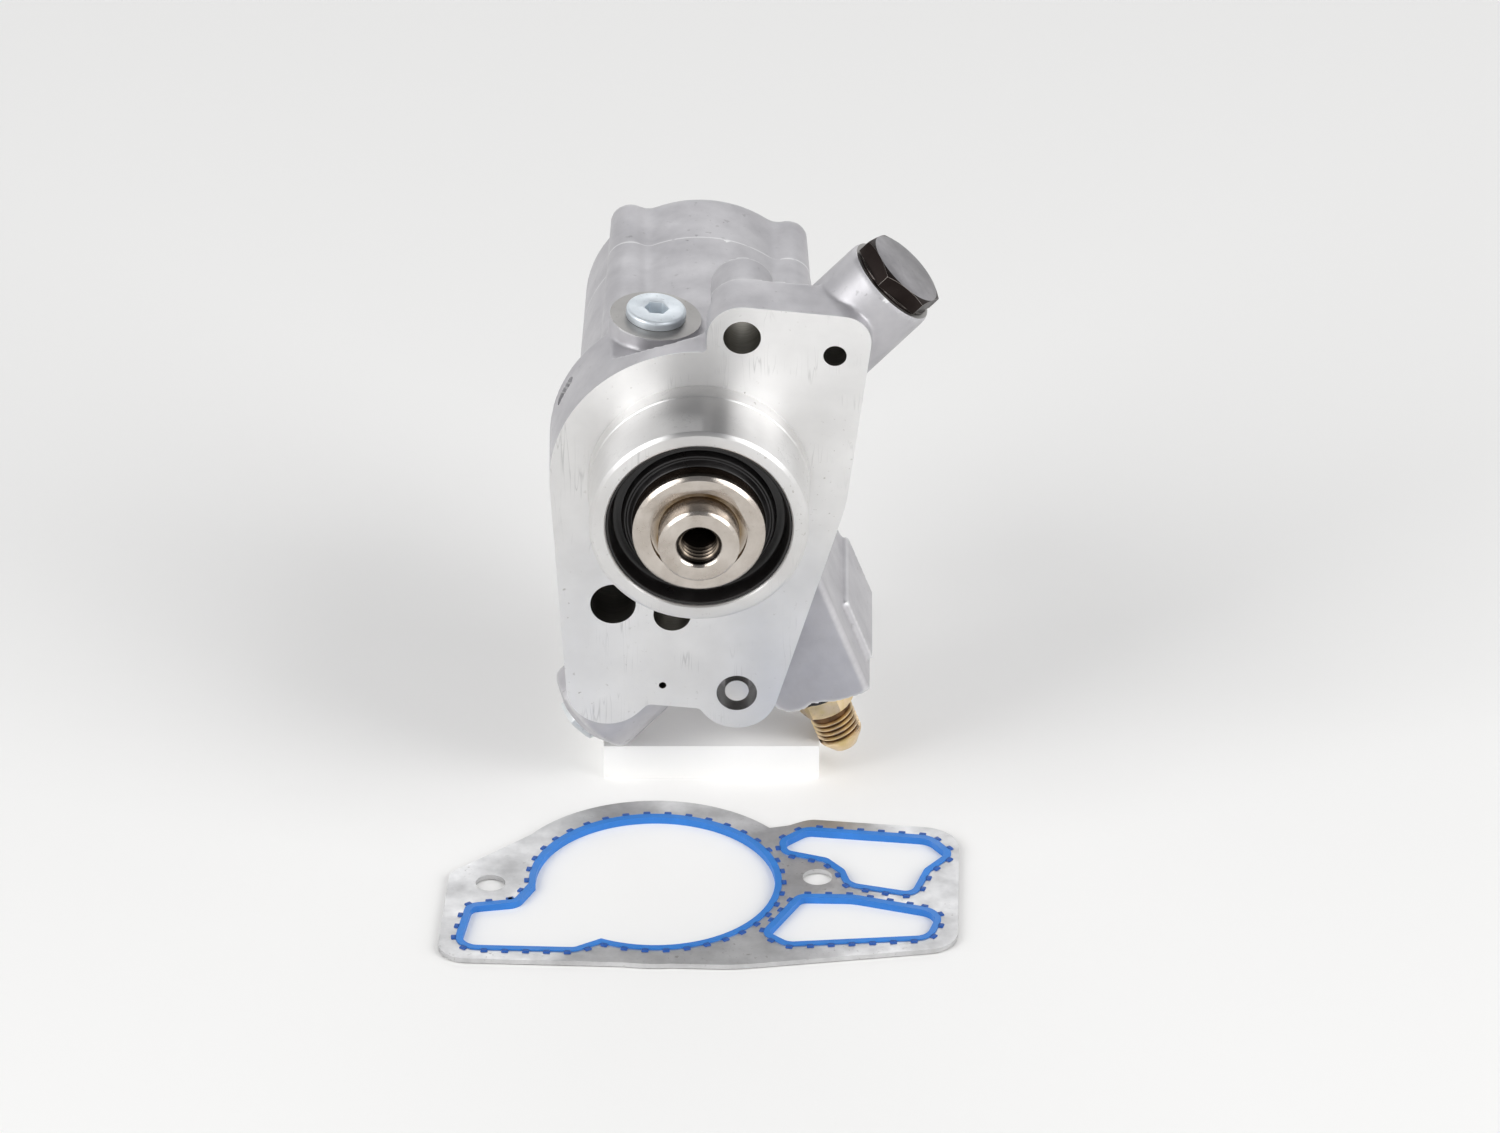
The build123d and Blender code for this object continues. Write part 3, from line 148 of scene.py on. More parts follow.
world = bpy.data.worlds.new("room")
scene.world = world
world.use_nodes = True
world_nodes = world.node_tree.nodes
world_links = world.node_tree.links
room_place = world_nodes.new("ShaderNodeTexCoord")
room_height = world_nodes.new("ShaderNodeSeparateXYZ")
room_ramp = world_nodes.new("ShaderNodeValToRGB")
room_ramp.color_ramp.elements[0].position = ROOM_SIDE_UP_TO
room_ramp.color_ramp.elements[0].color = ROOM_SIDE
room_ramp.color_ramp.elements[1].position = ROOM_TOP_FROM
room_ramp.color_ramp.elements[1].color = ROOM_TOP
world_links.new(room_place.outputs["Generated"], room_height.inputs[0])
world_links.new(room_height.outputs["Z"], room_ramp.inputs["Fac"])
background = world_nodes["Background"]
background.inputs["Strength"].default_value = ROOM_STRENGTH
world_links.new(room_ramp.outputs["Color"], background.inputs["Color"])


def soft_box(name, power, size, place):
    """Rectangular area lamp that faces the pump."""
    lamp_data = bpy.data.lights.new(name, "AREA")
    lamp_data.shape = "RECTANGLE"
    lamp_data.size, lamp_data.size_y = size
    lamp_data.energy = power
    lamp = bpy.data.objects.new(name, lamp_data)
    scene.collection.objects.link(lamp)
    lamp.location = place
    lamp.rotation_euler = (-Vector(place)).to_track_quat("-Z", "Y").to_euler()


soft_box("left_box", 15.5, SOFT_BOX_SIZE, (-1.2, -0.75, 1.0))
soft_box("right_box", 15.0, SOFT_BOX_SIZE, (1.2, -0.65, 1.0))
soft_box("back_box", 4.0, BACK_BOX_SIZE, (0.0, 1.6, 1.0))

# Cast body: housing and rear cover
# Aluminium castings with soft mould edges. The flange face, the spot face of the top plug, the ends of the
# side ports and every bore are machined and stay crisp: they are filled with stock first, the whole body
# gets its soft cast skin, and then the stock is cut away. The cover meets the housing in a fine seam.
SEAM_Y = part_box("rear_cover")[0].y / MM
REAR_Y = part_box("rear_cover")[1].y / MM
STOCK = 2.0
WALL_STOCK = 1.0
TOOL_BOX = 300.0
FLANGE_TOOL_DEPTH = 100.0
RUN_IN = 1.0
FACING_MARGIN = 1.0
FACE_CUT = 6.0
FLANGE_REACH = 120.0
CAST_VOXEL = 0.72
CAST_SMOOTH_STEPS = 4
CAST_FATTEN = 0.15
ROLL = radians(5.5)
BORE_SIDES = 72
FINE_BORE_SIDES = 24
SLOT_SIDES = 40
TOP_BOLT = (12.0, 46.3)
LOW_BOLT = (-7.5, -44.2)
BOLT_HOLE_RADIUS = 5.25
BOLT_BOSS_LENGTH = 29.0
SUCTION_AT = (-24.0, -40.7)
SUCTION_RADIUS = 6.35
SUCTION_DEPTH = 27.0
FEED_AT = (37.8, 40.4)
FEED_RADIUS = 3.25
FEED_DEPTH = 12.0
BLEED_AT = (-10.2, -67.4)
BLEED_RADIUS = 1.05
BLEED_DEPTH = 8.0
PIN_AT = (10.5, -69.9)
PIN_HOLE_RADIUS = 5.65
PIN_HOLE_DEPTH = 10.0
PIN_RADIUS = 3.32
PIN_DEPTH = 14.2
PIN_STOCK_LENGTH = 18.0
BRIGHT_BORE_END = 16.0
TOP_PLUG_Y = 26.0
TOP_PLUG_OFFSET = -15.6
TOP_BOSS_HEIGHT = 36.2
TOP_BOSS_RADIUS = 12.65
TOP_BORE_RADIUS = 6.1
TOP_BORE_DEPTH = 10.0
TOP_STOCK_RADIUS = 9.0
TOP_STOCK_LENGTH = 14.0
PORT_DIRECTION = Vector((0.69, 0.04, 0.72)).normalized()
RIGHT_PORT_END = Vector((53.7, 18.0, 53.8))
LEFT_PORT_END = Vector((-31.8, 17.7, -87.9))
PORT_RADIUS = 14.0
RIGHT_BORE_RADIUS = 10.1
LEFT_BORE_RADIUS = 5.1
PORT_BORE_DEPTH = 16.0
PORT_STOCK_RADIUS = 8.0
PORT_STOCK_LENGTH = 20.0
CAVITY_RADIUS = 26.5
CORE_STOCK = 1.5
CORE_FRONT_Y = -20.0
CORE_REAR_SKIN = 4.0
CHAMBER_RADIUS = 24.8
BEARING_BORE_RADIUS = 25.0
SHAFT_HOLE_RADIUS = 19.3
COLUMN_CIRCLE = 31.25
COLUMN_ANGLE = 38
COLUMN_ANGLES = [radians(COLUMN_ANGLE + 90 * step) for step in range(4)]
COLUMN_STOCK_LEAD = 20.0
SCREW_POCKET_RADIUS = 4.55
SCREW_POCKET_DEPTH = 5.8
POCKET_STOCK = 0.2
POCKET_TOOL_LENGTH = 12.0
LABEL_PAD = (43.1, 39.5, -63.7)
LABEL_PAD_SIZE = (4.0, 35.0, 20.0)
LEAN_ANGLE = radians(20.5)
RIM_SLOT_TURNS = (150.5, 153, 155.5, 158)
RIM_SLOT_START = 45.0
RIM_SLOT_Y = 18.0
RIM_SLOT_RADIUS = 2.1
RIM_SLOT_LENGTH = 6.0
up = Vector((sin(ROLL), 0, cos(ROLL)))
across = Vector((cos(ROLL), 0, -sin(ROLL)))
back = Vector((0, 1, 0))
top_plug_seat = up * TOP_BOSS_HEIGHT + across * TOP_PLUG_OFFSET + back * TOP_PLUG_Y

# Each drilling: place, radius, depth, how far its drill goes past the depth, and the drill's sides.
DRILLINGS = (
    (TOP_BOLT, BOLT_HOLE_RADIUS, BOLT_BOSS_LENGTH, 1.0, BORE_SIDES),
    (LOW_BOLT, BOLT_HOLE_RADIUS, BOLT_BOSS_LENGTH, 1.0, BORE_SIDES),
    (SUCTION_AT, SUCTION_RADIUS, SUCTION_DEPTH, 0.0, BORE_SIDES),
    (FEED_AT, FEED_RADIUS, FEED_DEPTH, 0.0, BORE_SIDES),
    (BLEED_AT, BLEED_RADIUS, BLEED_DEPTH, 0.0, FINE_BORE_SIDES),
)

# Each room inside the housing, front to rear: first Y, last Y, radius. They overlap where they open
# into each other.
ROOMS = (
    (-1.0, 4.0, BEARING_BORE_RADIUS),
    (3.0, 9.0, SHAFT_HOLE_RADIUS),
    (8.0, 37.1, CHAMBER_RADIUS),
    (37.0, SEAM_Y + 1.0, CAVITY_RADIUS),
)


def merged_copy(node, name):
    """A copy of a CAD node with its loose triangles merged and its flat faces whole."""
    piece = bpy.data.objects.new(name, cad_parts[node].data.copy())
    scene.collection.objects.link(piece)
    piece.data.materials.clear()
    select_only(piece)
    bpy.ops.mesh.customdata_custom_splitnormals_clear()
    bpy.ops.object.mode_set(mode="EDIT")
    bpy.ops.mesh.select_mode(type="FACE")
    bpy.ops.mesh.select_all(action="SELECT")
    bpy.ops.mesh.remove_doubles(threshold=1e-6)
    bpy.ops.mesh.dissolve_limited(angle_limit=radians(0.5))
    bpy.ops.object.mode_set(mode="OBJECT")
    return piece


def add_bar(start, direction, radius, length, sides=BORE_SIDES):
    """Round bar that starts at a point and runs along a direction, in millimetres."""
    direction = Vector(direction).normalized()
    bpy.ops.object.select_all(action="DESELECT")
    bpy.ops.mesh.primitive_cone_add(
        vertices=sides,
        radius1=radius * MM,
        radius2=radius * MM,
        depth=length * MM,
        location=(Vector(start) + direction * length / 2) * MM,
        rotation=direction.to_track_quat("Z", "Y").to_euler(),
    )
    bar = bpy.context.object
    bpy.ops.object.transform_apply(location=True, rotation=True, scale=True)
    return bar


def join(first, *others):
    """Joins pieces into the first one."""
    select_only(first, *others)
    bpy.ops.object.join()
    return first


def apply_modifier(piece, kind, **settings):
    """Adds a modifier with these settings and applies it."""
    modifier = piece.modifiers.new(kind.lower(), kind)
    for key, value in settings.items():
        setattr(modifier, key, value)
    select_only(piece)
    bpy.ops.object.modifier_apply(modifier=modifier.name)


def cut(piece, *tools):
    """Machines a piece with tool objects, which are used up."""
    for tool in tools:
        apply_modifier(piece, "BOOLEAN", object=tool, operation="DIFFERENCE", solver="MANIFOLD")
        bpy.data.objects.remove(tool)


def edit_faces(piece, wanted):
    """Opens a piece in edit mode and selects the faces whose middle (in mm) and normal the test wants."""
    select_only(piece)
    bpy.ops.object.mode_set(mode="EDIT")
    bpy.ops.mesh.select_mode(type="FACE")
    bpy.ops.mesh.select_all(action="DESELECT")
    shape = bmesh.from_edit_mesh(piece.data)
    for face in shape.faces:
        face.select_set(bool(wanted(face.calc_center_median() / MM, face.normal)))
    bmesh.update_edit_mesh(piece.data)


def pull_faces(piece, wanted, shift):
    """Extrudes the wanted flat faces by a shift in millimetres, as stock to machine off."""
    edit_faces(piece, wanted)
    bpy.ops.mesh.extrude_region_move(TRANSFORM_OT_translate={"value": Vector(shift) * MM})
    bpy.ops.object.mode_set(mode="OBJECT")


def finish_faces(piece, material, wanted):
    """Gives the wanted faces a material of their own."""
    piece.data.materials.append(material)
    edit_faces(piece, wanted)
    piece.active_material_index = len(piece.data.materials) - 1
    bpy.ops.object.material_slot_assign()
    bpy.ops.object.mode_set(mode="OBJECT")


def smooth_by_angle(piece, angle=35):
    """Smooth shading, but sharp where faces meet above an angle in degrees."""
    select_only(piece)
    bpy.ops.object.shade_smooth_by_angle(angle=radians(angle))


def in_plane(origin, normal, reach):
    """Test for flat faces in a plane within a reach of its origin."""
    def wanted(centre, face_normal):
        offset = centre - origin
        flat = face_normal.dot(normal) > 0.999 and abs(offset.dot(normal)) < 0.02
        return flat and offset.length < reach
    return wanted


def across_shaft(point, y):
    """An (x, z) place on the flange, at a depth along the shaft."""
    return Vector((point[0], y, point[1]))


def effect_group(name, inputs, outputs):
    """Empty shader node group with named float inputs and outputs."""
    group = bpy.data.node_groups.new(name, "ShaderNodeTree")
    for label, value in inputs.items():
        socket = group.interface.new_socket(label, in_out="INPUT", socket_type="NodeSocketFloat")
        socket.default_value = value
    for label, kind in outputs.items():
        group.interface.new_socket(label, in_out="OUTPUT", socket_type=kind)
    start = group.nodes.new("NodeGroupInput")
    end = group.nodes.new("NodeGroupOutput")
    return group, start, end


def wire(tree, *pairs):
    """Links pairs of an output and an input."""
    for source, goal in pairs:
        tree.links.new(source, goal)


def noise(tree, vector, scale, detail=3.0, roughness=0.55):
    """Noise texture node on a vector, its scale a number or a socket."""
    node = tree.nodes.new("ShaderNodeTexNoise")
    node.inputs["Detail"].default_value = detail
    node.inputs["Roughness"].default_value = roughness
    tree.links.new(vector, node.inputs["Vector"])
    if isinstance(scale, (int, float)):
        node.inputs["Scale"].default_value = scale
    else:
        tree.links.new(scale, node.inputs["Scale"])
    return node


def ramp(tree, source, low, high, from_value=0.0, to_value=1.0):
    """Maps low..high of a socket to from_value..to_value, held at the ends."""
    node = tree.nodes.new("ShaderNodeMapRange")
    limits = {"From Min": low, "From Max": high, "To Min": from_value, "To Max": to_value}
    for label, value in limits.items():
        node.inputs[label].default_value = value
    tree.links.new(source, node.inputs["Value"])
    return node.outputs["Result"]


def band(tree, source, limits):
    """Mask that goes from 0 to 1 between two places in millimetres."""
    return ramp(tree, source, limits[0] * MM, limits[1] * MM)


def math_node(tree, operation, *values):
    """Math node on numbers and sockets."""
    node = tree.nodes.new("ShaderNodeMath")
    node.operation = operation
    for place, value in enumerate(values):
        if isinstance(value, (int, float)):
            node.inputs[place].default_value = value
        else:
            tree.links.new(value, node.inputs[place])
    return node.outputs[0]


def mix_color(tree, factor, first, second):
    """Mixes two colours, each a tuple or a socket."""
    node = tree.nodes.new("ShaderNodeMix")
    node.data_type = "RGBA"
    tree.links.new(factor, node.inputs["Factor"])
    for label, value in (("A", first), ("B", second)):
        socket = [item for item in node.inputs if item.name == label and item.type == "RGBA"][0]
        if isinstance(value, tuple):
            socket.default_value = (*value, 1)
        else:
            tree.links.new(value, socket)
    return [item for item in node.outputs if item.type == "RGBA"][0]


def object_place(tree, stretch=(1, 1, 1)):
    """Object coordinates, stretched by a Mapping node."""
    place = tree.nodes.new("ShaderNodeTexCoord")
    mapping = tree.nodes.new("ShaderNodeMapping")
    mapping.inputs["Scale"].default_value = stretch
    tree.links.new(place.outputs["Object"], mapping.inputs["Vector"])
    return mapping.outputs["Vector"]


def ring_place(tree):
    """Distance from the shaft axis and depth along it, for marks that run round the shaft."""
    place = tree.nodes.new("ShaderNodeTexCoord").outputs["Object"]
    flat = tree.nodes.new("ShaderNodeVectorMath")
    flat.operation = "MULTIPLY"
    flat.inputs[1].default_value = (1, 0, 1)
    reach = tree.nodes.new("ShaderNodeVectorMath")
    reach.operation = "LENGTH"
    split = tree.nodes.new("ShaderNodeSeparateXYZ")
    ring = tree.nodes.new("ShaderNodeCombineXYZ")
    wire(
        tree,
        (place, flat.inputs[0]),
        (flat.outputs[0], reach.inputs[0]),
        (reach.outputs["Value"], ring.inputs["X"]),
        (place, split.inputs[0]),
        (split.outputs["Y"], ring.inputs["Y"]),
    )
    return ring.outputs[0]


def bump(tree, shader, height, distance, strength):
    """Fine relief in a shader's normal."""
    node = tree.nodes.new("ShaderNodeBump")
    node.inputs["Distance"].default_value = distance
    node.inputs["Strength"].default_value = strength
    tree.links.new(height, node.inputs["Height"])
    tree.links.new(node.outputs["Normal"], shader.inputs["Normal"])


def use_group(tree, group, **values):
    """Outputs of an effect group, its inputs named with _ for a space."""
    node = tree.nodes.new("ShaderNodeGroup")
    node.node_tree = group
    for label, value in values.items():
        node.inputs[label.replace("_", " ")].default_value = value
    return node.outputs


def grime_effect():
    """Cloudy stains, fine specks and a little grain for every metal."""
    group, start, end = effect_group(
        "grime",
        {"Cloud Scale": 60.0, "Speck Scale": 900.0, "Speck Amount": 0.3, "Grain Scale": 2600.0},
        {"Cloud": "NodeSocketFloat", "Specks": "NodeSocketFloat", "Grain": "NodeSocketFloat"},
    )
    place = group.nodes.new("ShaderNodeTexCoord").outputs["Object"]
    cloud = noise(group, place, start.outputs["Cloud Scale"], 4.0, 0.6).outputs["Fac"]
    speck = noise(group, place, start.outputs["Speck Scale"], 2.0, 0.5).outputs["Fac"]
    patch = ramp(group, noise(group, place, 45.0, 2.0).outputs["Fac"], 0.45, 0.7)
    grain = noise(group, place, start.outputs["Grain Scale"], 2.0, 0.7).outputs["Fac"]
    spots = math_node(group, "MULTIPLY", ramp(group, speck, 0.66, 0.74), patch)
    spots = math_node(group, "MULTIPLY", spots, start.outputs["Speck Amount"])
    wire(
        group,
        (ramp(group, cloud, 0.3, 0.7), end.inputs["Cloud"]),
        (spots, end.inputs["Specks"]),
        (grain, end.inputs["Grain"]),
    )
    return group


def scratch_effect():
    """Fine straight scratches in two directions, as handling leaves on machined faces."""
    group, start, end = effect_group(
        "scratches", {"Density": 0.5, "Scale": 140.0}, {"Scratches": "NodeSocketFloat"}
    )
    place = group.nodes.new("ShaderNodeTexCoord").outputs["Object"]
    layers = []
    for turn, along in ((0.5, 0.06), (-1.1, 0.05), (1.25, 0.08)):
        mapping = group.nodes.new("ShaderNodeMapping")
        mapping.inputs["Rotation"].default_value = (0, turn, 0)
        mapping.inputs["Scale"].default_value = (1.0, 1.0, along)
        group.links.new(place, mapping.inputs["Vector"])
        line = noise(group, mapping.outputs["Vector"], start.outputs["Scale"], 3.0, 0.6).outputs["Fac"]
        near_middle = math_node(group, "ABSOLUTE", math_node(group, "SUBTRACT", line, 0.5))
        layers.append(ramp(group, near_middle, 0.0, 0.006, 1.0, 0.0))
    patch = ramp(group, noise(group, place, 70.0, 2.0).outputs["Fac"], 0.52, 0.68)
    lines = math_node(group, "MAXIMUM", math_node(group, "MAXIMUM", layers[0], layers[1]), layers[2])
    lines = math_node(group, "MULTIPLY", lines, patch)
    lines = math_node(group, "MULTIPLY", lines, start.outputs["Density"])
    group.links.new(lines, end.inputs["Scratches"])
    return group


GRIME = grime_effect()
SCRATCHES = scratch_effect()


def grime_marks(tree, cloud, speck, amount, grain=3000.0):
    """The grime effect at a finish's own scales."""
    return use_group(
        tree, GRIME, Cloud_Scale=cloud, Speck_Scale=speck, Speck_Amount=amount, Grain_Scale=grain
    )


def cast_aluminium():
    """Sand-cast skin: cloudy and grainy, edges lighter (wear and painted highlight), corners in painted
    shade.
    """
    material, tree, shader = new_material("cast_aluminium", (0.52, 0.515, 0.53), 0.5, 0.8)
    grime = grime_marks(tree, 55.0, 500.0, 0.55, 2200.0)
    color = mix_color(tree, grime["Cloud"], (0.46, 0.452, 0.472), (0.59, 0.582, 0.598))
    color = mix_color(tree, grime["Specks"], color, (0.16, 0.155, 0.16))
    edge = tree.nodes.new("ShaderNodeNewGeometry").outputs["Pointiness"]
    # Convex edges lighter: partly edge wear, partly a painted highlight.
    color = mix_color(tree, ramp(tree, edge, 0.515, 0.56, 0.0, 0.75), color, (0.86, 0.86, 0.86))
    # Concave corners darker: painted shade.
    color = mix_color(tree, ramp(tree, edge, 0.485, 0.44, 0.0, 0.6), color, (0.30, 0.295, 0.305))
    rough = ramp(tree, grime["Cloud"], 0.0, 1.0, 0.56, 0.44)
    wire(tree, (color, shader.inputs["Base Color"]), (rough, shader.inputs["Roughness"]))
    bump(tree, shader, grime["Grain"], 0.00006, 0.55)
    return material


def machined_aluminium(name, light, dark, rough, ringed=0.0):
    """Bare cut aluminium with stains, specks and scratches. A ringed one was turned round the shaft."""
    material, tree, shader = new_material(name, light, rough, 1.0)
    grime = grime_marks(tree, 38.0, 650.0, 0.75)
    marks = use_group(tree, SCRATCHES, Density=0.5, Scale=120.0)
    color = mix_color(tree, grime["Cloud"], dark, light)
    color = mix_color(tree, grime["Specks"], color, (0.25, 0.22, 0.18))
    color = mix_color(tree, marks["Scratches"], color, tuple(part * 0.5 for part in light))
    roughness = ramp(tree, grime["Cloud"], 0.0, 1.0, rough + 0.05, rough - 0.04)
    mill = noise(tree, ring_place(tree), 1500.0, 2.0).outputs["Fac"]
    height = math_node(tree, "SUBTRACT", mill, marks["Scratches"])
    wire(tree, (color, shader.inputs["Base Color"]), (roughness, shader.inputs["Roughness"]))
    bump(tree, shader, height, 0.000012, 0.6)
    if ringed:
        shader.inputs["Anisotropic"].default_value = ringed
        shader.inputs["Anisotropic Rotation"].default_value = 0.25
        along = tree.nodes.new("ShaderNodeVectorMath")
        along.operation = "CROSS_PRODUCT"
        along.inputs[1].default_value = (0, 1, 0)
        wire(tree, (object_place(tree), along.inputs[0]), (along.outputs[0], shader.inputs["Tangent"]))
    return material


def shaded_bore_aluminium():
    """Drilled walls, darker than the flange face: painted shade inside the holes."""
    material, tree, shader = new_material("shaded_bore_aluminium", (0.2, 0.19, 0.17), 0.4, 1.0)
    rings = noise(tree, object_place(tree, (0.05, 1.0, 0.05)), 1800.0, 2.0).outputs["Fac"]
    color = mix_color(tree, rings, (0.13, 0.12, 0.10), (0.30, 0.29, 0.26))
    wire(tree, (color, shader.inputs["Base Color"]))
    bump(tree, shader, rings, 0.00002, 0.6)
    return material


CAST = cast_aluminium()
TURNED_FACE = machined_aluminium(
    "turned_face", (0.90, 0.895, 0.89), (0.80, 0.795, 0.79), 0.42, ringed=0.85
)
SPOT_FACE = machined_aluminium("spot_face", (0.46, 0.45, 0.44), (0.36, 0.35, 0.34), 0.45)
SHADED_BORE = shaded_bore_aluminium()
BRIGHT_BORE = machined_aluminium("bright_bore", (0.88, 0.88, 0.87), (0.76, 0.76, 0.75), 0.2)

body = merged_copy("pump_housing", "housing_casting")
rear = merged_copy("rear_cover", "cover_casting")
port_ends = ((RIGHT_PORT_END, PORT_DIRECTION), (LEFT_PORT_END, -PORT_DIRECTION))
flange_face = in_plane(Vector((0, 0, 0)), -back, FLANGE_REACH)
pull_faces(body, flange_face, -back * STOCK)
pull_faces(body, in_plane(top_plug_seat, up, TOP_BOSS_RADIUS), up * STOCK)
for end, direction in port_ends:
    pull_faces(body, in_plane(end, direction, PORT_RADIUS), direction * STOCK)
core_length = REAR_Y - CORE_REAR_SKIN - CORE_FRONT_Y
round_stock = [add_bar((0, CORE_FRONT_Y, 0), back, CAVITY_RADIUS + CORE_STOCK, core_length)]
for spot, radius, depth, past, sides in DRILLINGS:
    start = across_shaft(spot, -STOCK)
    round_stock.append(add_bar(start, back, radius + WALL_STOCK, depth + STOCK))
pin_start = across_shaft(PIN_AT, -STOCK)
round_stock.append(add_bar(pin_start, back, PIN_HOLE_RADIUS + WALL_STOCK, PIN_STOCK_LENGTH))
round_stock.append(add_bar(top_plug_seat + up * STOCK, -up, TOP_STOCK_RADIUS, TOP_STOCK_LENGTH))
for end, direction in port_ends:
    start = end + direction * STOCK
    round_stock.append(add_bar(start, -direction, PORT_STOCK_RADIUS, PORT_STOCK_LENGTH))
column_places = [(COLUMN_CIRCLE * cos(angle), COLUMN_CIRCLE * sin(angle)) for angle in COLUMN_ANGLES]
for spot in column_places:
    foot = across_shaft(spot, SEAM_Y - COLUMN_STOCK_LEAD)
    length = REAR_Y - SEAM_Y + COLUMN_STOCK_LEAD
    round_stock.append(add_bar(foot, back, SCREW_POCKET_RADIUS + POCKET_STOCK, length))
label_pad = add_box("label_pad", LABEL_PAD, LABEL_PAD_SIZE)
edit_faces(label_pad, lambda centre, normal: True)
bpy.ops.transform.rotate(value=LEAN_ANGLE, orient_axis="Y", center_override=mm(*LABEL_PAD))
bpy.ops.object.mode_set(mode="OBJECT")
body = join(body, rear, label_pad, *round_stock)
apply_modifier(body, "REMESH", mode="VOXEL", voxel_size=CAST_VOXEL * MM)
apply_modifier(body, "SMOOTH", factor=0.5, iterations=CAST_SMOOTH_STEPS)
edit_faces(body, lambda centre, normal: True)
bpy.ops.transform.shrink_fatten(value=CAST_FATTEN * MM)
bpy.ops.object.mode_set(mode="OBJECT")

cover = body.copy()
cover.data = body.data.copy()
cover.name = "cover_casting"
scene.collection.objects.link(cover)
tool_size = (TOOL_BOX, TOOL_BOX, TOOL_BOX)
cut(cover, add_box("seam_cut", (0, SEAM_Y - TOOL_BOX / 2, 0), tool_size))
cut(body, add_box("rear_cut", (0, SEAM_Y + TOOL_BOX / 2, 0), tool_size))
flange_tool = (TOOL_BOX, FLANGE_TOOL_DEPTH, TOOL_BOX)
cut(body, add_box("flange_cut", (0, -FLANGE_TOOL_DEPTH / 2, 0), flange_tool))
cut(body, add_bar(top_plug_seat, up, TOP_BOSS_RADIUS + FACING_MARGIN, FACE_CUT))
for end, direction in port_ends:
    cut(body, add_bar(end, direction, PORT_RADIUS + FACING_MARGIN, FACE_CUT))
for front_y, rear_y, radius in ROOMS:
    cut(body, add_bar((0, front_y, 0), back, radius, rear_y - front_y))
for spot, radius, depth, past, sides in DRILLINGS:
    start = across_shaft(spot, -RUN_IN)
    cut(body, add_bar(start, back, radius, depth + RUN_IN + past, sides=sides))
cut(
    body,
    add_bar(across_shaft(PIN_AT, -RUN_IN), back, PIN_HOLE_RADIUS, PIN_HOLE_DEPTH + RUN_IN),
    add_bar(across_shaft(PIN_AT, 0), back, PIN_RADIUS, PIN_DEPTH),
    add_bar(top_plug_seat + up * RUN_IN, -up, TOP_BORE_RADIUS, TOP_BORE_DEPTH + RUN_IN),
)
for (end, direction), radius in zip(port_ends, (RIGHT_BORE_RADIUS, LEFT_BORE_RADIUS)):
    cut(body, add_bar(end + direction * RUN_IN, -direction, radius, PORT_BORE_DEPTH + RUN_IN))
for turn in RIM_SLOT_TURNS:
    outward = Vector((cos(radians(turn)), 0, sin(radians(turn))))
    start = outward * RIM_SLOT_START + back * RIM_SLOT_Y
    cut(body, add_bar(start, -outward, RIM_SLOT_RADIUS, RIM_SLOT_LENGTH, sides=SLOT_SIDES))
for spot in column_places:
    pocket = across_shaft(spot, REAR_Y - SCREW_POCKET_DEPTH)
    cut(cover, add_bar(pocket, back, SCREW_POCKET_RADIUS, POCKET_TOOL_LENGTH))


def in_hole(centre, normal, spot, radius, depth):
    """True for a face of the wall of a hole drilled from the flange."""
    off_axis = hypot(centre.x - spot[0], centre.z - spot[1])
    return abs(normal.y) < 0.02 and off_axis < radius + 0.05 and centre.y < depth


for casting in (body, cover):
    coat(casting, CAST)
# The walls of the drilled holes get painted shade.
finish_faces(body, SHADED_BORE, lambda centre, normal: any(
    in_hole(centre, normal, spot, radius, depth) for spot, radius, depth, past, sides in DRILLINGS
))
finish_faces(body, BRIGHT_BORE, lambda centre, normal: centre.y > 0 and (
    in_hole(centre, normal, PIN_AT, PIN_HOLE_RADIUS, BRIGHT_BORE_END)
))
finish_faces(body, TURNED_FACE, flange_face)
finish_faces(body, SPOT_FACE, lambda centre, normal: any(
    test(centre, normal)
    for test in (
        in_plane(top_plug_seat, up, TOP_BOSS_RADIUS + FACING_MARGIN),
        in_plane(RIGHT_PORT_END, PORT_DIRECTION, PORT_RADIUS + FACING_MARGIN),
        in_plane(LEFT_PORT_END, -PORT_DIRECTION, PORT_RADIUS + FACING_MARGIN),
    )
))


def place_piece(piece, node, body_name, angle=35):
    """Shades a finished piece and lets it stand for a CAD node on the body that carries it."""
    smooth_by_angle(piece, angle)
    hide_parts(node)
    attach(piece, body_name)


place_piece(body, "pump_housing", "housing", 40)
place_piece(cover, "rear_cover", "housing", 40)

# Pilot
# Turned aluminium nose that centres the pump in the engine. A register next to the flange is full size,
# the rest is relieved by a third of a millimetre, and a fine groove runs round its foot.
PILOT_RADIUS = 31.0
PILOT_RELIEF = 0.35
PILOT_FRONT_Y = -25.0
PILOT_REGISTER_Y = -6.0
SEAL_BORE_RADIUS = 26.0
SEAL_REAR_Y = -16.18
TURNED_SIDES = 160


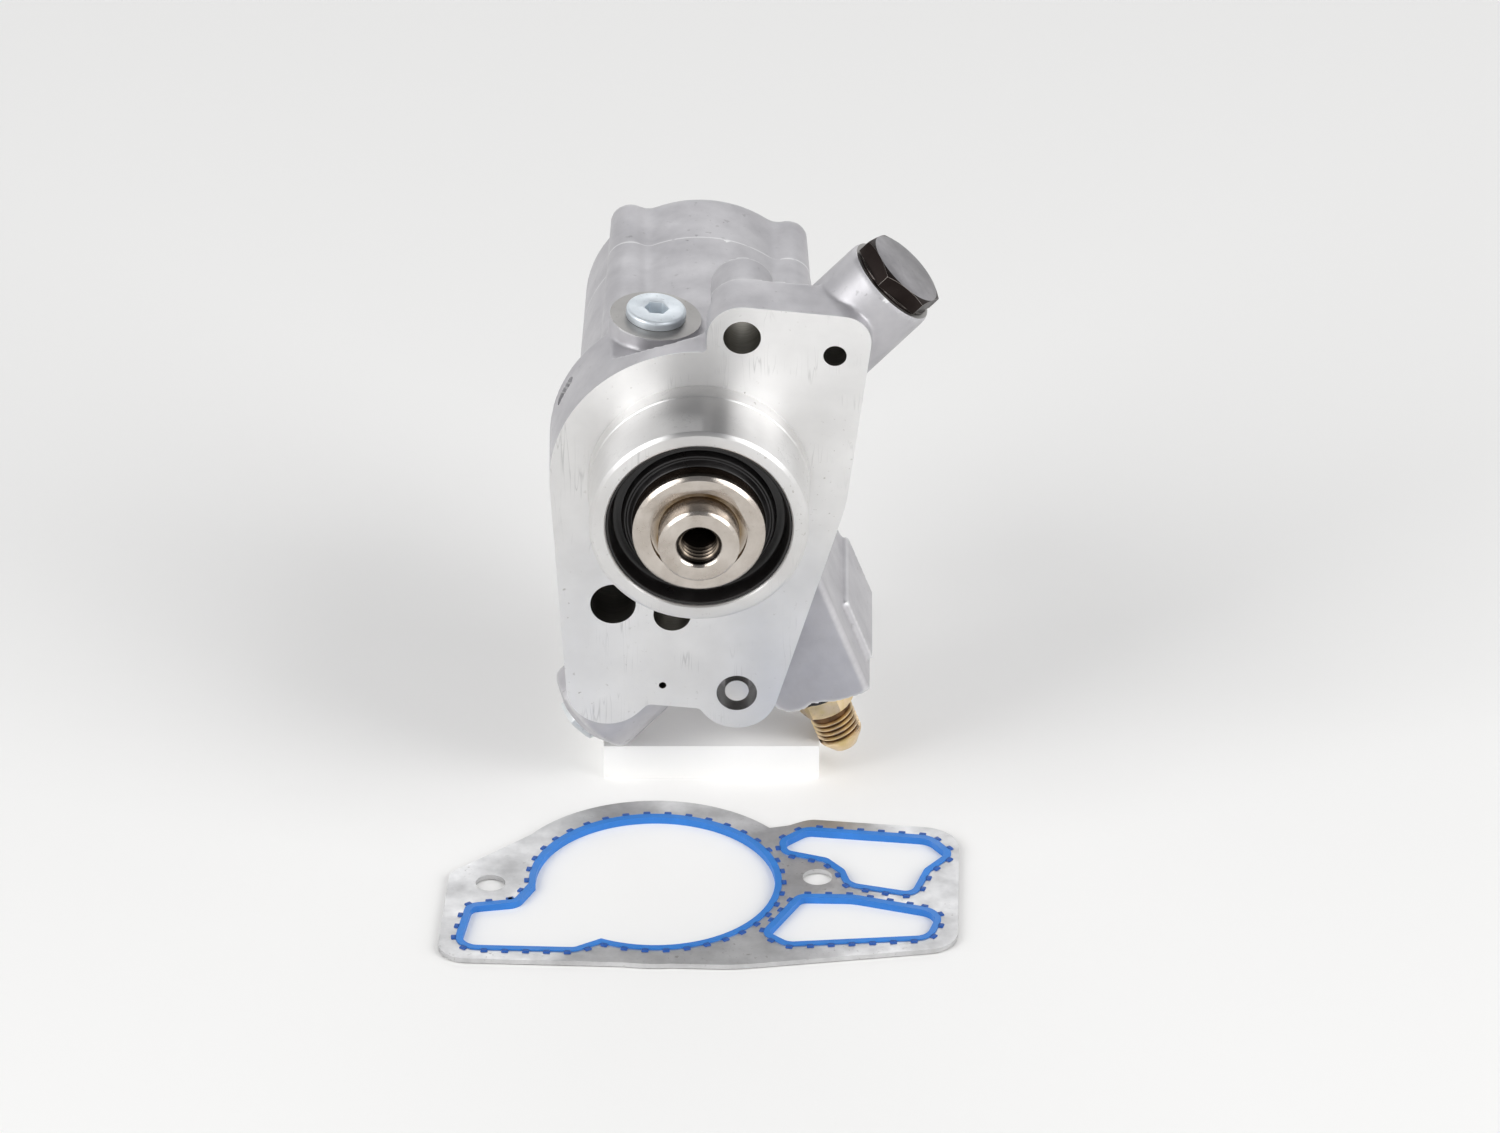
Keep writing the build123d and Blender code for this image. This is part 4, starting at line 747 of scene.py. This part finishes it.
def turned(name, origin, direction, profile, sides=TURNED_SIDES):
    """Closed ring or solid spun round an axis from (radius, height) points in millimetres."""
    direction = Vector(direction).normalized()
    out = direction.orthogonal().normalized()
    points = [(Vector(origin) + out * radius + direction * height) * MM for radius, height in profile]
    bpy.ops.object.select_all(action="DESELECT")
    bpy.ops.mesh.primitive_plane_add(size=0.5 * MM, location=points[0])
    piece = bpy.context.object
    piece.name = name
    bpy.ops.object.transform_apply(location=True, rotation=True, scale=True)
    bpy.ops.object.mode_set(mode="EDIT")
    bpy.ops.mesh.select_mode(type="VERT")
    bpy.ops.mesh.select_all(action="SELECT")
    bpy.ops.mesh.merge(type="CENTER")
    for start, goal in zip(points, points[1:] + points[:1]):
        bpy.ops.mesh.extrude_vertices_move(TRANSFORM_OT_translate={"value": goal - start})
    bpy.ops.mesh.select_all(action="SELECT")
    bpy.ops.mesh.remove_doubles(threshold=1e-7)
    bpy.ops.mesh.spin(steps=sides, angle=2 * pi, center=Vector(origin) * MM, axis=direction)
    bpy.ops.mesh.select_all(action="SELECT")
    bpy.ops.mesh.remove_doubles(threshold=2e-6)
    bpy.ops.mesh.normals_make_consistent(inside=False)
    bpy.ops.object.mode_set(mode="OBJECT")
    return piece


def round_edges(piece, width, segments=2, **settings):
    """Breaks a piece's sharp edges, as turning and tumbling leave them."""
    apply_modifier(
        piece, "BEVEL", width=width * MM, segments=segments, limit_method="ANGLE",
        angle_limit=radians(30), **settings,
    )


relieved = PILOT_RADIUS - PILOT_RELIEF
pilot = turned(
    "pilot",
    (0, 0, 0),
    back,
    [
        (SEAL_BORE_RADIUS + 0.5, PILOT_FRONT_Y),
        (relieved - 1.0, PILOT_FRONT_Y),
        (relieved, PILOT_FRONT_Y + 1.0),
        (relieved, PILOT_REGISTER_Y),
        (PILOT_RADIUS, PILOT_REGISTER_Y + 0.3),
        (PILOT_RADIUS, -0.6),
        (PILOT_RADIUS - 0.3, -0.4),
        (PILOT_RADIUS - 0.3, 0.2),
        (BEARING_BORE_RADIUS, 0.2),
        (BEARING_BORE_RADIUS, SEAL_REAR_Y),
        (SEAL_BORE_RADIUS, SEAL_REAR_Y),
        (SEAL_BORE_RADIUS, PILOT_FRONT_Y + 0.5),
    ],
)
round_edges(pilot, 0.12)
PILOT_TURNED = machined_aluminium(
    "pilot_turned", (0.80, 0.795, 0.79), (0.70, 0.69, 0.68), 0.36, ringed=0.9
)
coat(pilot, PILOT_TURNED)
place_piece(pilot, "pump_housing", "housing")

# Shaft seal
# Steel case covered in black rubber, pressed into the pilot, with a moulded lip on the journal.
# A garter spring behind the front wall holds the lip down.


def seal_rubber(name, color=(0.008, 0.007, 0.007), roughness=0.34):
    """Moulded rubber with a dull bloom in patches."""
    material, tree, shader = new_material(name, color, roughness, 0.0)
    grime = grime_marks(tree, 110.0, 900.0, 0.3, 3500.0)
    worn = tuple(0.012 + 1.3 * part for part in color)
    tint = mix_color(tree, ramp(tree, grime["Cloud"], 0.45, 1.0, 0.0, 0.5), color, worn)
    rough = ramp(tree, grime["Cloud"], 0.0, 1.0, roughness - 0.08, roughness + 0.16)
    wire(tree, (tint, shader.inputs["Base Color"]), (rough, shader.inputs["Roughness"]))
    bump(tree, shader, grime["Grain"], 0.00003, 0.4)
    return material


BLACK_RUBBER = seal_rubber("black_rubber")
seal_case = turned(
    "seal_case_moulded",
    (0, 0, 0),
    back,
    [
        (25.98, -23.9), (25.8, -24.2), (25.3, -24.2), (25.0, -23.8), (24.5, -19.9), (23.9, -19.1),
        (22.7, -19.0), (21.62, -19.5), (21.62, -18.4), (23.8, -17.8), (23.8, -16.22), (25.98, -16.22),
    ],
)
seal_lip = turned(
    "seal_lip_moulded",
    (0, 0, 0),
    back,
    [
        (21.58, -19.6), (20.9, -21.3), (20.4, -21.5), (20.1, -21.1), (19.6, -21.2), (19.0, -23.0),
        (18.7, -23.3), (18.55, -23.1), (18.55, -21.8), (19.1, -20.2), (18.55, -17.3), (20.7, -17.3),
        (19.64, -18.3), (19.64, -19.6), (21.58, -18.6),
    ],
)
for piece, node in ((seal_case, "seal_case"), (seal_lip, "seal_lip")):
    round_edges(piece, 0.12)
    coat(piece, BLACK_RUBBER)
    place_piece(piece, node, "housing", 50)


def plain_metal(name, light, dark, rough, specks=0.4, spotted=(0.10, 0.08, 0.06)):
    """Steel or bronze with a cloudy tone and a few dark specks."""
    material, tree, shader = new_material(name, light, rough, 1.0)
    grime = grime_marks(tree, 90.0, 800.0, specks)
    color = mix_color(tree, grime["Cloud"], dark, light)
    color = mix_color(tree, grime["Specks"], color, spotted)
    roughness = ramp(tree, grime["Cloud"], 0.0, 1.0, rough + 0.07, rough - 0.05)
    wire(tree, (color, shader.inputs["Base Color"]), (roughness, shader.inputs["Roughness"]))
    bump(tree, shader, grime["Grain"], 0.00001, 0.4)
    return material


def dress(node, material, edge=0.12):
    """Gives a CAD node that keeps its shape a material and broken edges."""
    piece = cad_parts[node]
    coat(piece, material)
    rounded = piece.modifiers.new("broken_edges", "BEVEL")
    rounded.width = edge * MM
    rounded.segments = 2
    rounded.limit_method = "ANGLE"
    rounded.angle_limit = radians(35)


SPRING_STEEL = plain_metal("spring_steel", (0.30, 0.30, 0.31), (0.22, 0.22, 0.23), 0.35)
dress("seal_garter_spring", SPRING_STEEL, 0.05)

# Drive shaft
# Hardened steel shaft with a tapped M12 nose, a ground journal and the inclined cam, turned from one piece.
# Oil has left a yellow-brown stain in the recess round the nose. The tapped hole is in painted shade: near
# black in the thread roots and darker with depth, its crests lighter.
NOSE_TIP_Y = -35.8
THREAD_RADIUS = 6.05
THREAD_CORE = 5.15
THREAD_PITCH = 1.75
THREAD_TURNS = 12
THREAD_ROOM = 23.6

# Where each tone of the shaft begins and ends: distances from its axis and places along it.
STAIN_REACH = (13.7, 11.8)
STAIN_Y = (-29.5, -28.0)
JOURNAL_REACH = (18.2, 18.5)
JOURNAL_Y = (-27.5, -26.2)
# Painted shade inside the tapped nose hole: its walls, the thread roots, and darker further in.
HOLE_SHADE_REACH = (6.4, 6.0)
HOLE_SHADE_Y = (-35.7, -35.0)
THREAD_ROOT_SHADE_REACH = (5.2, 5.7)
THREAD_SHADE_Y = (-33.8, -26.5)


def helix(name, start, direction, profile, pitch, turns, steps=48):
    """Thread ridge: a closed (radius, height) outline wound round an axis, its ends filled."""
    bpy.ops.object.select_all(action="DESELECT")
    bpy.ops.mesh.primitive_plane_add(size=0.2 * MM, location=mm(profile[0][0], 0, profile[0][1]))
    ridge = bpy.context.object
    ridge.name = name
    bpy.ops.object.transform_apply(location=True, rotation=True, scale=True)
    bpy.ops.object.mode_set(mode="EDIT")
    bpy.ops.mesh.select_mode(type="VERT")
    bpy.ops.mesh.select_all(action="SELECT")
    bpy.ops.mesh.merge(type="CENTER")
    for (radius, height), (next_radius, next_height) in zip(profile, profile[1:] + profile[:1]):
        step = mm(next_radius - radius, 0, next_height - height)
        bpy.ops.mesh.extrude_vertices_move(TRANSFORM_OT_translate={"value": step})
    bpy.ops.mesh.select_all(action="SELECT")
    bpy.ops.mesh.remove_doubles(threshold=1e-7)
    bpy.ops.object.mode_set(mode="OBJECT")
    apply_modifier(
        ridge, "SCREW", axis="Z", screw_offset=pitch * MM, iterations=turns, steps=steps,
        render_steps=steps,
    )
    bpy.ops.object.mode_set(mode="EDIT")
    bpy.ops.mesh.select_all(action="SELECT")
    bpy.ops.mesh.fill_holes(sides=0)
    bpy.ops.mesh.select_all(action="SELECT")
    bpy.ops.mesh.normals_make_consistent(inside=False)
    bpy.ops.object.mode_set(mode="OBJECT")
    ridge.location = Vector(start) * MM
    ridge.rotation_euler = Vector(direction).to_track_quat("Z", "Y").to_euler()
    select_only(ridge)
    bpy.ops.object.transform_apply(location=True, rotation=True, scale=True)
    return ridge


def shaft_steel():
    """Warm ground steel with its oil stain, a darker journal and painted shade in the tapped hole."""
    material, tree, shader = new_material("shaft_steel", (0.56, 0.51, 0.46), 0.24, 1.0)
    grime = grime_marks(tree, 120.0, 900.0, 0.7)
    ring = tree.nodes.new("ShaderNodeSeparateXYZ")
    wire(tree, (ring_place(tree), ring.inputs[0]))
    reach, depth = ring.outputs["X"], ring.outputs["Y"]
    color = mix_color(tree, grime["Cloud"], (0.48, 0.43, 0.38), (0.64, 0.59, 0.54))
    color = mix_color(tree, grime["Specks"], color, (0.12, 0.08, 0.05))
    near_nose = band(tree, reach, STAIN_REACH)
    low = math_node(tree, "MULTIPLY", near_nose, band(tree, depth, STAIN_Y))
    stain = math_node(tree, "MULTIPLY", low, ramp(tree, grime["Cloud"], 0.0, 0.8, 0.45, 1.0))
    color = mix_color(tree, stain, color, (0.20, 0.13, 0.055))
    side = band(tree, reach, JOURNAL_REACH)
    journal = math_node(tree, "MULTIPLY", side, band(tree, depth, JOURNAL_Y))
    color = mix_color(tree, journal, color, (0.17, 0.12, 0.09))
    # Painted shade in the tapped hole: crests lighter, roots near black, darker with depth.
    bore = math_node(tree, "MULTIPLY", band(tree, reach, HOLE_SHADE_REACH), band(tree, depth, HOLE_SHADE_Y))
    root = band(tree, reach, THREAD_ROOT_SHADE_REACH)
    thread_shade_color = mix_color(tree, root, (0.42, 0.35, 0.28), (0.02, 0.016, 0.013))
    thread_shade_color = mix_color(tree, band(tree, depth, THREAD_SHADE_Y), thread_shade_color, (0.008, 0.006, 0.005))
    color = mix_color(tree, bore, color, thread_shade_color)
    turning = noise(tree, ring_place(tree), 1900.0, 2.0).outputs["Fac"]
    rough = ramp(tree, grime["Cloud"], 0.0, 1.0, 0.30, 0.18)
    wire(tree, (color, shader.inputs["Base Color"]), (rough, shader.inputs["Roughness"]))
    bump(tree, shader, turning, 0.000012, 0.6)
    shader.inputs["Anisotropic"].default_value = 0.6
    shader.inputs["Anisotropic Rotation"].default_value = 0.25
    along = tree.nodes.new("ShaderNodeTangent")
    along.direction_type = "RADIAL"
    along.axis = "Y"
    wire(tree, (along.outputs[0], shader.inputs["Tangent"]))
    return material


SHAFT_STEEL = shaft_steel()
shaft = merged_copy("drive_shaft", "drive_shaft_turned")
cut(shaft, add_bar((0, NOSE_TIP_Y + 0.7, 0), back, THREAD_RADIUS, THREAD_ROOM))
round_edges(shaft, 0.22)
thread = helix(
    "nose_thread",
    (0, NOSE_TIP_Y + 0.9, 0),
    back,
    [(THREAD_RADIUS + 0.05, 0.05), (THREAD_CORE, 0.78), (THREAD_CORE, 0.95), (THREAD_RADIUS + 0.05, 1.65)],
    THREAD_PITCH,
    THREAD_TURNS,
)
shaft = join(shaft, thread)
coat(shaft, SHAFT_STEEL)
place_piece(shaft, "drive_shaft", "shaft")

# Front bearing and thrust bearing
# Caged rollers of bright bearing steel. One row runs on the journal, the other takes the piston force.
BEARING_STEEL = plain_metal("bearing_steel", (0.62, 0.62, 0.63), (0.52, 0.52, 0.53), 0.18, 0.2)
CAGE_STEEL = plain_metal("cage_steel", (0.42, 0.41, 0.39), (0.33, 0.32, 0.30), 0.34)
for node in ("front_bearing_ring", "front_rollers", "thrust_washer", "thrust_rollers"):
    dress(node, BEARING_STEEL)
for node in ("front_roller_cage", "thrust_cage"):
    dress(node, CAGE_STEEL, 0.08)

# Cam bearing and wobble plate
# Needle rollers on the inclined cam face carry a hardened plate, which rocks and pushes the pistons.
for node in ("cam_rollers", "wobble_plate"):
    dress(node, BEARING_STEEL)
dress("cam_cage", CAGE_STEEL, 0.08)

# Piston group
# Seven ground steel pistons in a still steel barrel, each with its spring, round a bronze rear bush.
GROUND_STEEL = plain_metal("ground_steel", (0.50, 0.49, 0.48), (0.40, 0.39, 0.38), 0.24)
BRONZE = plain_metal("bronze", (0.48, 0.27, 0.11), (0.38, 0.20, 0.08), 0.32)
for node in ("pistons", "barrel", "check_plate"):
    dress(node, GROUND_STEEL)
dress("rear_bush", BRONZE)
for node in ("piston_springs", "check_springs"):
    dress(node, SPRING_STEEL, 0.08)
for node in ("check_balls", "timing_pin"):
    dress(node, BEARING_STEEL, 0.08)

# O-rings
# Moulded black rubber in the bevels under the cover, the plugs and the fitting.
for node in ("cover_o_ring", "top_plug_o_ring", "right_port_o_ring", "left_port_o_ring", "fitting_o_ring"):
    dress(node, BLACK_RUBBER, 0.05)

# Cover screws
# Four black socket head screws, sunk in the columns at the rear of the body.
BLACK_OXIDE = plain_metal("black_oxide", (0.055, 0.048, 0.045), (0.032, 0.028, 0.026), 0.38, 0.2)
dress("cover_screws", BLACK_OXIDE, 0.25)

# Check pin
# Bright ground steel pin pressed into the cross hole of the right lobe.
PIN_STEEL = plain_metal("pin_steel", (0.78, 0.77, 0.75), (0.66, 0.64, 0.61), 0.22, 0.5)
dress("check_pin", PIN_STEEL, 0.5)

# Top plug
# Steel plug with a round head and a hexagon socket, zinc plated to a dull bluish grey.


def zinc_plate(name, light, dark, rough):
    """Zinc plating, cloudy and a little speckled."""
    material, tree, shader = new_material(name, light, rough, 0.7)
    grime = grime_marks(tree, 130.0, 1100.0, 0.8, 2600.0)
    color = mix_color(tree, grime["Cloud"], dark, light)
    color = mix_color(tree, grime["Specks"], color, (0.20, 0.20, 0.19))
    roughness = ramp(tree, grime["Cloud"], 0.0, 1.0, rough + 0.1, rough - 0.06)
    wire(tree, (color, shader.inputs["Base Color"]), (roughness, shader.inputs["Roughness"]))
    bump(tree, shader, grime["Grain"], 0.00002, 0.5)
    return material


BLUE_ZINC = zinc_plate("blue_zinc", (0.78, 0.83, 0.87), (0.64, 0.69, 0.73), 0.42)
LIGHT_ZINC = zinc_plate("light_zinc", (0.76, 0.78, 0.79), (0.64, 0.66, 0.67), 0.34)
top_plug = merged_copy("top_plug", "top_plug_plated")
round_edges(top_plug, 0.3, segments=3)
coat(top_plug, BLUE_ZINC)
place_piece(top_plug, "top_plug", "housing")

# Right port plug
# Large hexagon plug in dark brown phosphated steel. Spanners and hands have worn its top grey and its
# edges bright.
PLUG_TOP_HEIGHT = 4.9
WORN_EDGE = plain_metal("worn_edge", (0.42, 0.40, 0.38), (0.20, 0.18, 0.16), 0.30)
BROWN_PHOSPHATE = plain_metal("brown_phosphate", (0.034, 0.027, 0.025), (0.019, 0.014, 0.013), 0.38, 0.3)
RUBBED_TOP = plain_metal("rubbed_top", (0.40, 0.39, 0.405), (0.26, 0.253, 0.265), 0.36, 0.9)
right_plug = merged_copy("right_port_plug", "right_port_plug_dark")
coat(right_plug, BROWN_PHOSPHATE)
right_plug.data.materials.append(WORN_EDGE)
round_edges(right_plug, 0.22, material=1)
finish_faces(right_plug, RUBBED_TOP, lambda centre, normal: normal.dot(PORT_DIRECTION) > 0.9
             and (centre - RIGHT_PORT_END).dot(PORT_DIRECTION) > PLUG_TOP_HEIGHT)
place_piece(right_plug, "right_port_plug", "housing")

# Left port plug
# Small bright zinc plated hexagon plug on the low port.
left_plug = merged_copy("left_port_plug", "left_port_plug_plated")
round_edges(left_plug, 0.2)
coat(left_plug, LIGHT_ZINC)
place_piece(left_plug, "left_port_plug", "housing")

# Flare fitting
# Steel adapter with a yellow passivated plating: a hexagon, five turns of outer thread that are darker
# in the roots between them, and a rounded flare nose.
BLOCK_CORNER = (47.6, -75.7)
BLOCK_LEAN = (0.35, -0.937)
FITTING_FROM_CORNER = 14.3
FITTING_Y = 19.0
FITTING_AT = Vector((
    BLOCK_CORNER[0] + FITTING_FROM_CORNER * BLOCK_LEAN[1],
    FITTING_Y,
    BLOCK_CORNER[1] - FITTING_FROM_CORNER * BLOCK_LEAN[0],
))
HEX_LENGTH = 5.0
NECK_END = 6.6
FITTING_CORE = 5.45
FITTING_CREST = 6.3
FITTING_PITCH = 1.6
FITTING_TURNS = 5
ROOT_DARK_REACH = (6.1, 5.6)
ROOT_DARK_START = (5.0, 5.2)
ROOT_DARK_END = (15.0, 14.6)
lean = Vector((BLOCK_LEAN[0], 0, BLOCK_LEAN[1])).normalized()


def yellow_zinc():
    """Yellow passivated zinc, darker in the roots of the thread."""
    material, tree, shader = new_material("yellow_zinc", (0.55, 0.40, 0.17), 0.3, 1.0)
    grime = grime_marks(tree, 210.0, 900.0, 0.6)
    color = mix_color(tree, grime["Cloud"], (0.72, 0.56, 0.28), (0.86, 0.68, 0.50))
    color = mix_color(tree, grime["Specks"], color, (0.16, 0.09, 0.04))
    from_axis = tree.nodes.new("ShaderNodeVectorMath")
    from_axis.operation = "SUBTRACT"
    from_axis.inputs[1].default_value = FITTING_AT * MM
    turned_off = tree.nodes.new("ShaderNodeVectorMath")
    turned_off.operation = "CROSS_PRODUCT"
    turned_off.inputs[1].default_value = lean
    reach = tree.nodes.new("ShaderNodeVectorMath")
    reach.operation = "LENGTH"
    along = tree.nodes.new("ShaderNodeVectorMath")
    along.operation = "DOT_PRODUCT"
    along.inputs[1].default_value = lean
    wire(
        tree,
        (object_place(tree), from_axis.inputs[0]),
        (from_axis.outputs[0], turned_off.inputs[0]),
        (turned_off.outputs[0], reach.inputs[0]),
        (from_axis.outputs[0], along.inputs[0]),
    )
    low = band(tree, reach.outputs["Value"], ROOT_DARK_REACH)
    height = along.outputs["Value"]
    low = math_node(tree, "MULTIPLY", low, band(tree, height, ROOT_DARK_START))
    low = math_node(tree, "MULTIPLY", low, band(tree, height, ROOT_DARK_END))
    # Darker in the roots between the thread turns.
    color = mix_color(tree, low, color, (0.16, 0.09, 0.045))
    rough = ramp(tree, grime["Cloud"], 0.0, 1.0, 0.38, 0.24)
    wire(tree, (color, shader.inputs["Base Color"]), (rough, shader.inputs["Roughness"]))
    bump(tree, shader, grime["Grain"], 0.00001, 0.4)
    return material


YELLOW_ZINC = yellow_zinc()
fitting = merged_copy("flare_fitting", "flare_fitting_threaded")
core_room = turned(
    "core_room",
    FITTING_AT,
    lean,
    [
        (FITTING_CORE, HEX_LENGTH), (9.5, HEX_LENGTH), (9.5, 14.6), (FITTING_CORE + 0.45, 14.6),
        (FITTING_CORE, 14.2),
    ],
    sides=72,
)
cut(fitting, core_room)
corner_cut = turned(
    "corner_cut", FITTING_AT, lean, [(7.1, 5.1), (9.0, 5.1), (9.0, 3.7)], sides=72
)
cut(fitting, corner_cut)
round_edges(fitting, 0.18)
outer_thread = helix(
    "outer_thread",
    FITTING_AT + lean * NECK_END,
    lean,
    [(FITTING_CORE - 0.1, 0.05), (FITTING_CREST, 0.62), (FITTING_CREST, 0.86), (FITTING_CORE - 0.1, 1.5)],
    FITTING_PITCH,
    FITTING_TURNS,
)
fitting = join(fitting, outer_thread)
coat(fitting, YELLOW_ZINC)
place_piece(fitting, "flare_fitting", "housing")

# Gasket
# Coated steel sheet with blue silicone beads moulded on the edges of its three openings. A row of darker
# nubs ties each bead to the sheet. It lies loose on the floor in front of the pump.
GASKET_GREY = plain_metal("gasket_grey", (0.74, 0.74, 0.745), (0.50, 0.50, 0.505), 0.38, 0.5)
BLUE_BEAD = seal_rubber("blue_bead", (0.020, 0.19, 0.60), 0.42)
BLUE_NUB = seal_rubber("blue_nub", (0.010, 0.085, 0.36), 0.45)
NUB_STEP = 5.8
NUB_SIZE = (1.7, 2.0, 0.7)
NUB_REACH = 0.45
NUB_SINK = 0.35
SMALL_LOOP = 20.0

dress("gasket_carrier", GASKET_GREY, 0.15)
dress("gasket_beads", BLUE_BEAD, 0.5)

bead_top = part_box("gasket_beads")[1].z


def rim_loops(shape):
    """The closed rims of a flat shape's top, each a list of (start, end, outward normal of the wall)."""
    mesh = bmesh.new()
    mesh.from_mesh(shape.data)
    waiting = {}
    for edge in mesh.edges:
        level = all(abs(vert.co.z - bead_top) < 1e-6 for vert in edge.verts)
        walls = [face.normal for face in edge.link_faces if abs(face.normal.z) < 0.1]
        if level and len(walls) == 1:
            waiting[edge] = walls[0].copy()
    loops = []
    while waiting:
        edge, normal = waiting.popitem()
        loop = [(edge.verts[0].co.copy(), edge.verts[1].co.copy(), normal)]
        tip = edge.verts[1]
        following = [item for item in tip.link_edges if item in waiting]
        while following:
            normal = waiting.pop(following[0])
            goal = following[0].other_vert(tip)
            loop.append((tip.co.copy(), goal.co.copy(), normal))
            tip = goal
            following = [item for item in tip.link_edges if item in waiting]
        loops.append(loop)
    mesh.free()
    return loops


def loop_box(loop):
    """Width plus depth of a loop, which tells an outer loop from the inner one beside it."""
    across_it = [start.x for start, goal, normal in loop]
    deep = [start.y for start, goal, normal in loop]
    return max(across_it) - min(across_it) + max(deep) - min(deep)


def faces_out(loop):
    """True if a loop's walls look away from its middle."""
    middle = sum((start for start, goal, normal in loop), Vector()) / len(loop)
    return sum((start - middle).dot(normal) for start, goal, normal in loop) > 0


bead_shape = merged_copy("gasket_beads", "bead_outline")
loops = rim_loops(bead_shape)
bpy.data.objects.remove(bead_shape)
nub = add_box("bead_nub", (0, 0, 0), NUB_SIZE)
round_edges(nub, 0.25)
nubs = []
for loop in loops:
    if not faces_out(loop) or loop_box(loop) < SMALL_LOOP * MM:
        continue
    walked = 0.0
    for start, goal, normal in loop:
        length = (goal - start).length
        while walked < length:
            place = start.lerp(goal, walked / length)
            copy = nub.copy()
            copy.data = nub.data.copy()
            scene.collection.objects.link(copy)
            outward = Vector((normal.x, normal.y, 0))
            copy.location = (place.x, place.y, bead_top - NUB_SINK * MM)
            copy.location += outward * NUB_REACH * MM
            copy.rotation_euler = outward.to_track_quat("X", "Z").to_euler()
            nubs.append(copy)
            walked += NUB_STEP * MM
        walked -= length
bpy.data.objects.remove(nub)
nubs = join(nubs[0], *nubs[1:])
nubs.name = "bead_nubs"
select_only(nubs)
bpy.ops.object.transform_apply(location=True, rotation=True, scale=True)
coat(nubs, BLUE_NUB)
smooth_by_angle(nubs, 50)
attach(nubs, "housing")
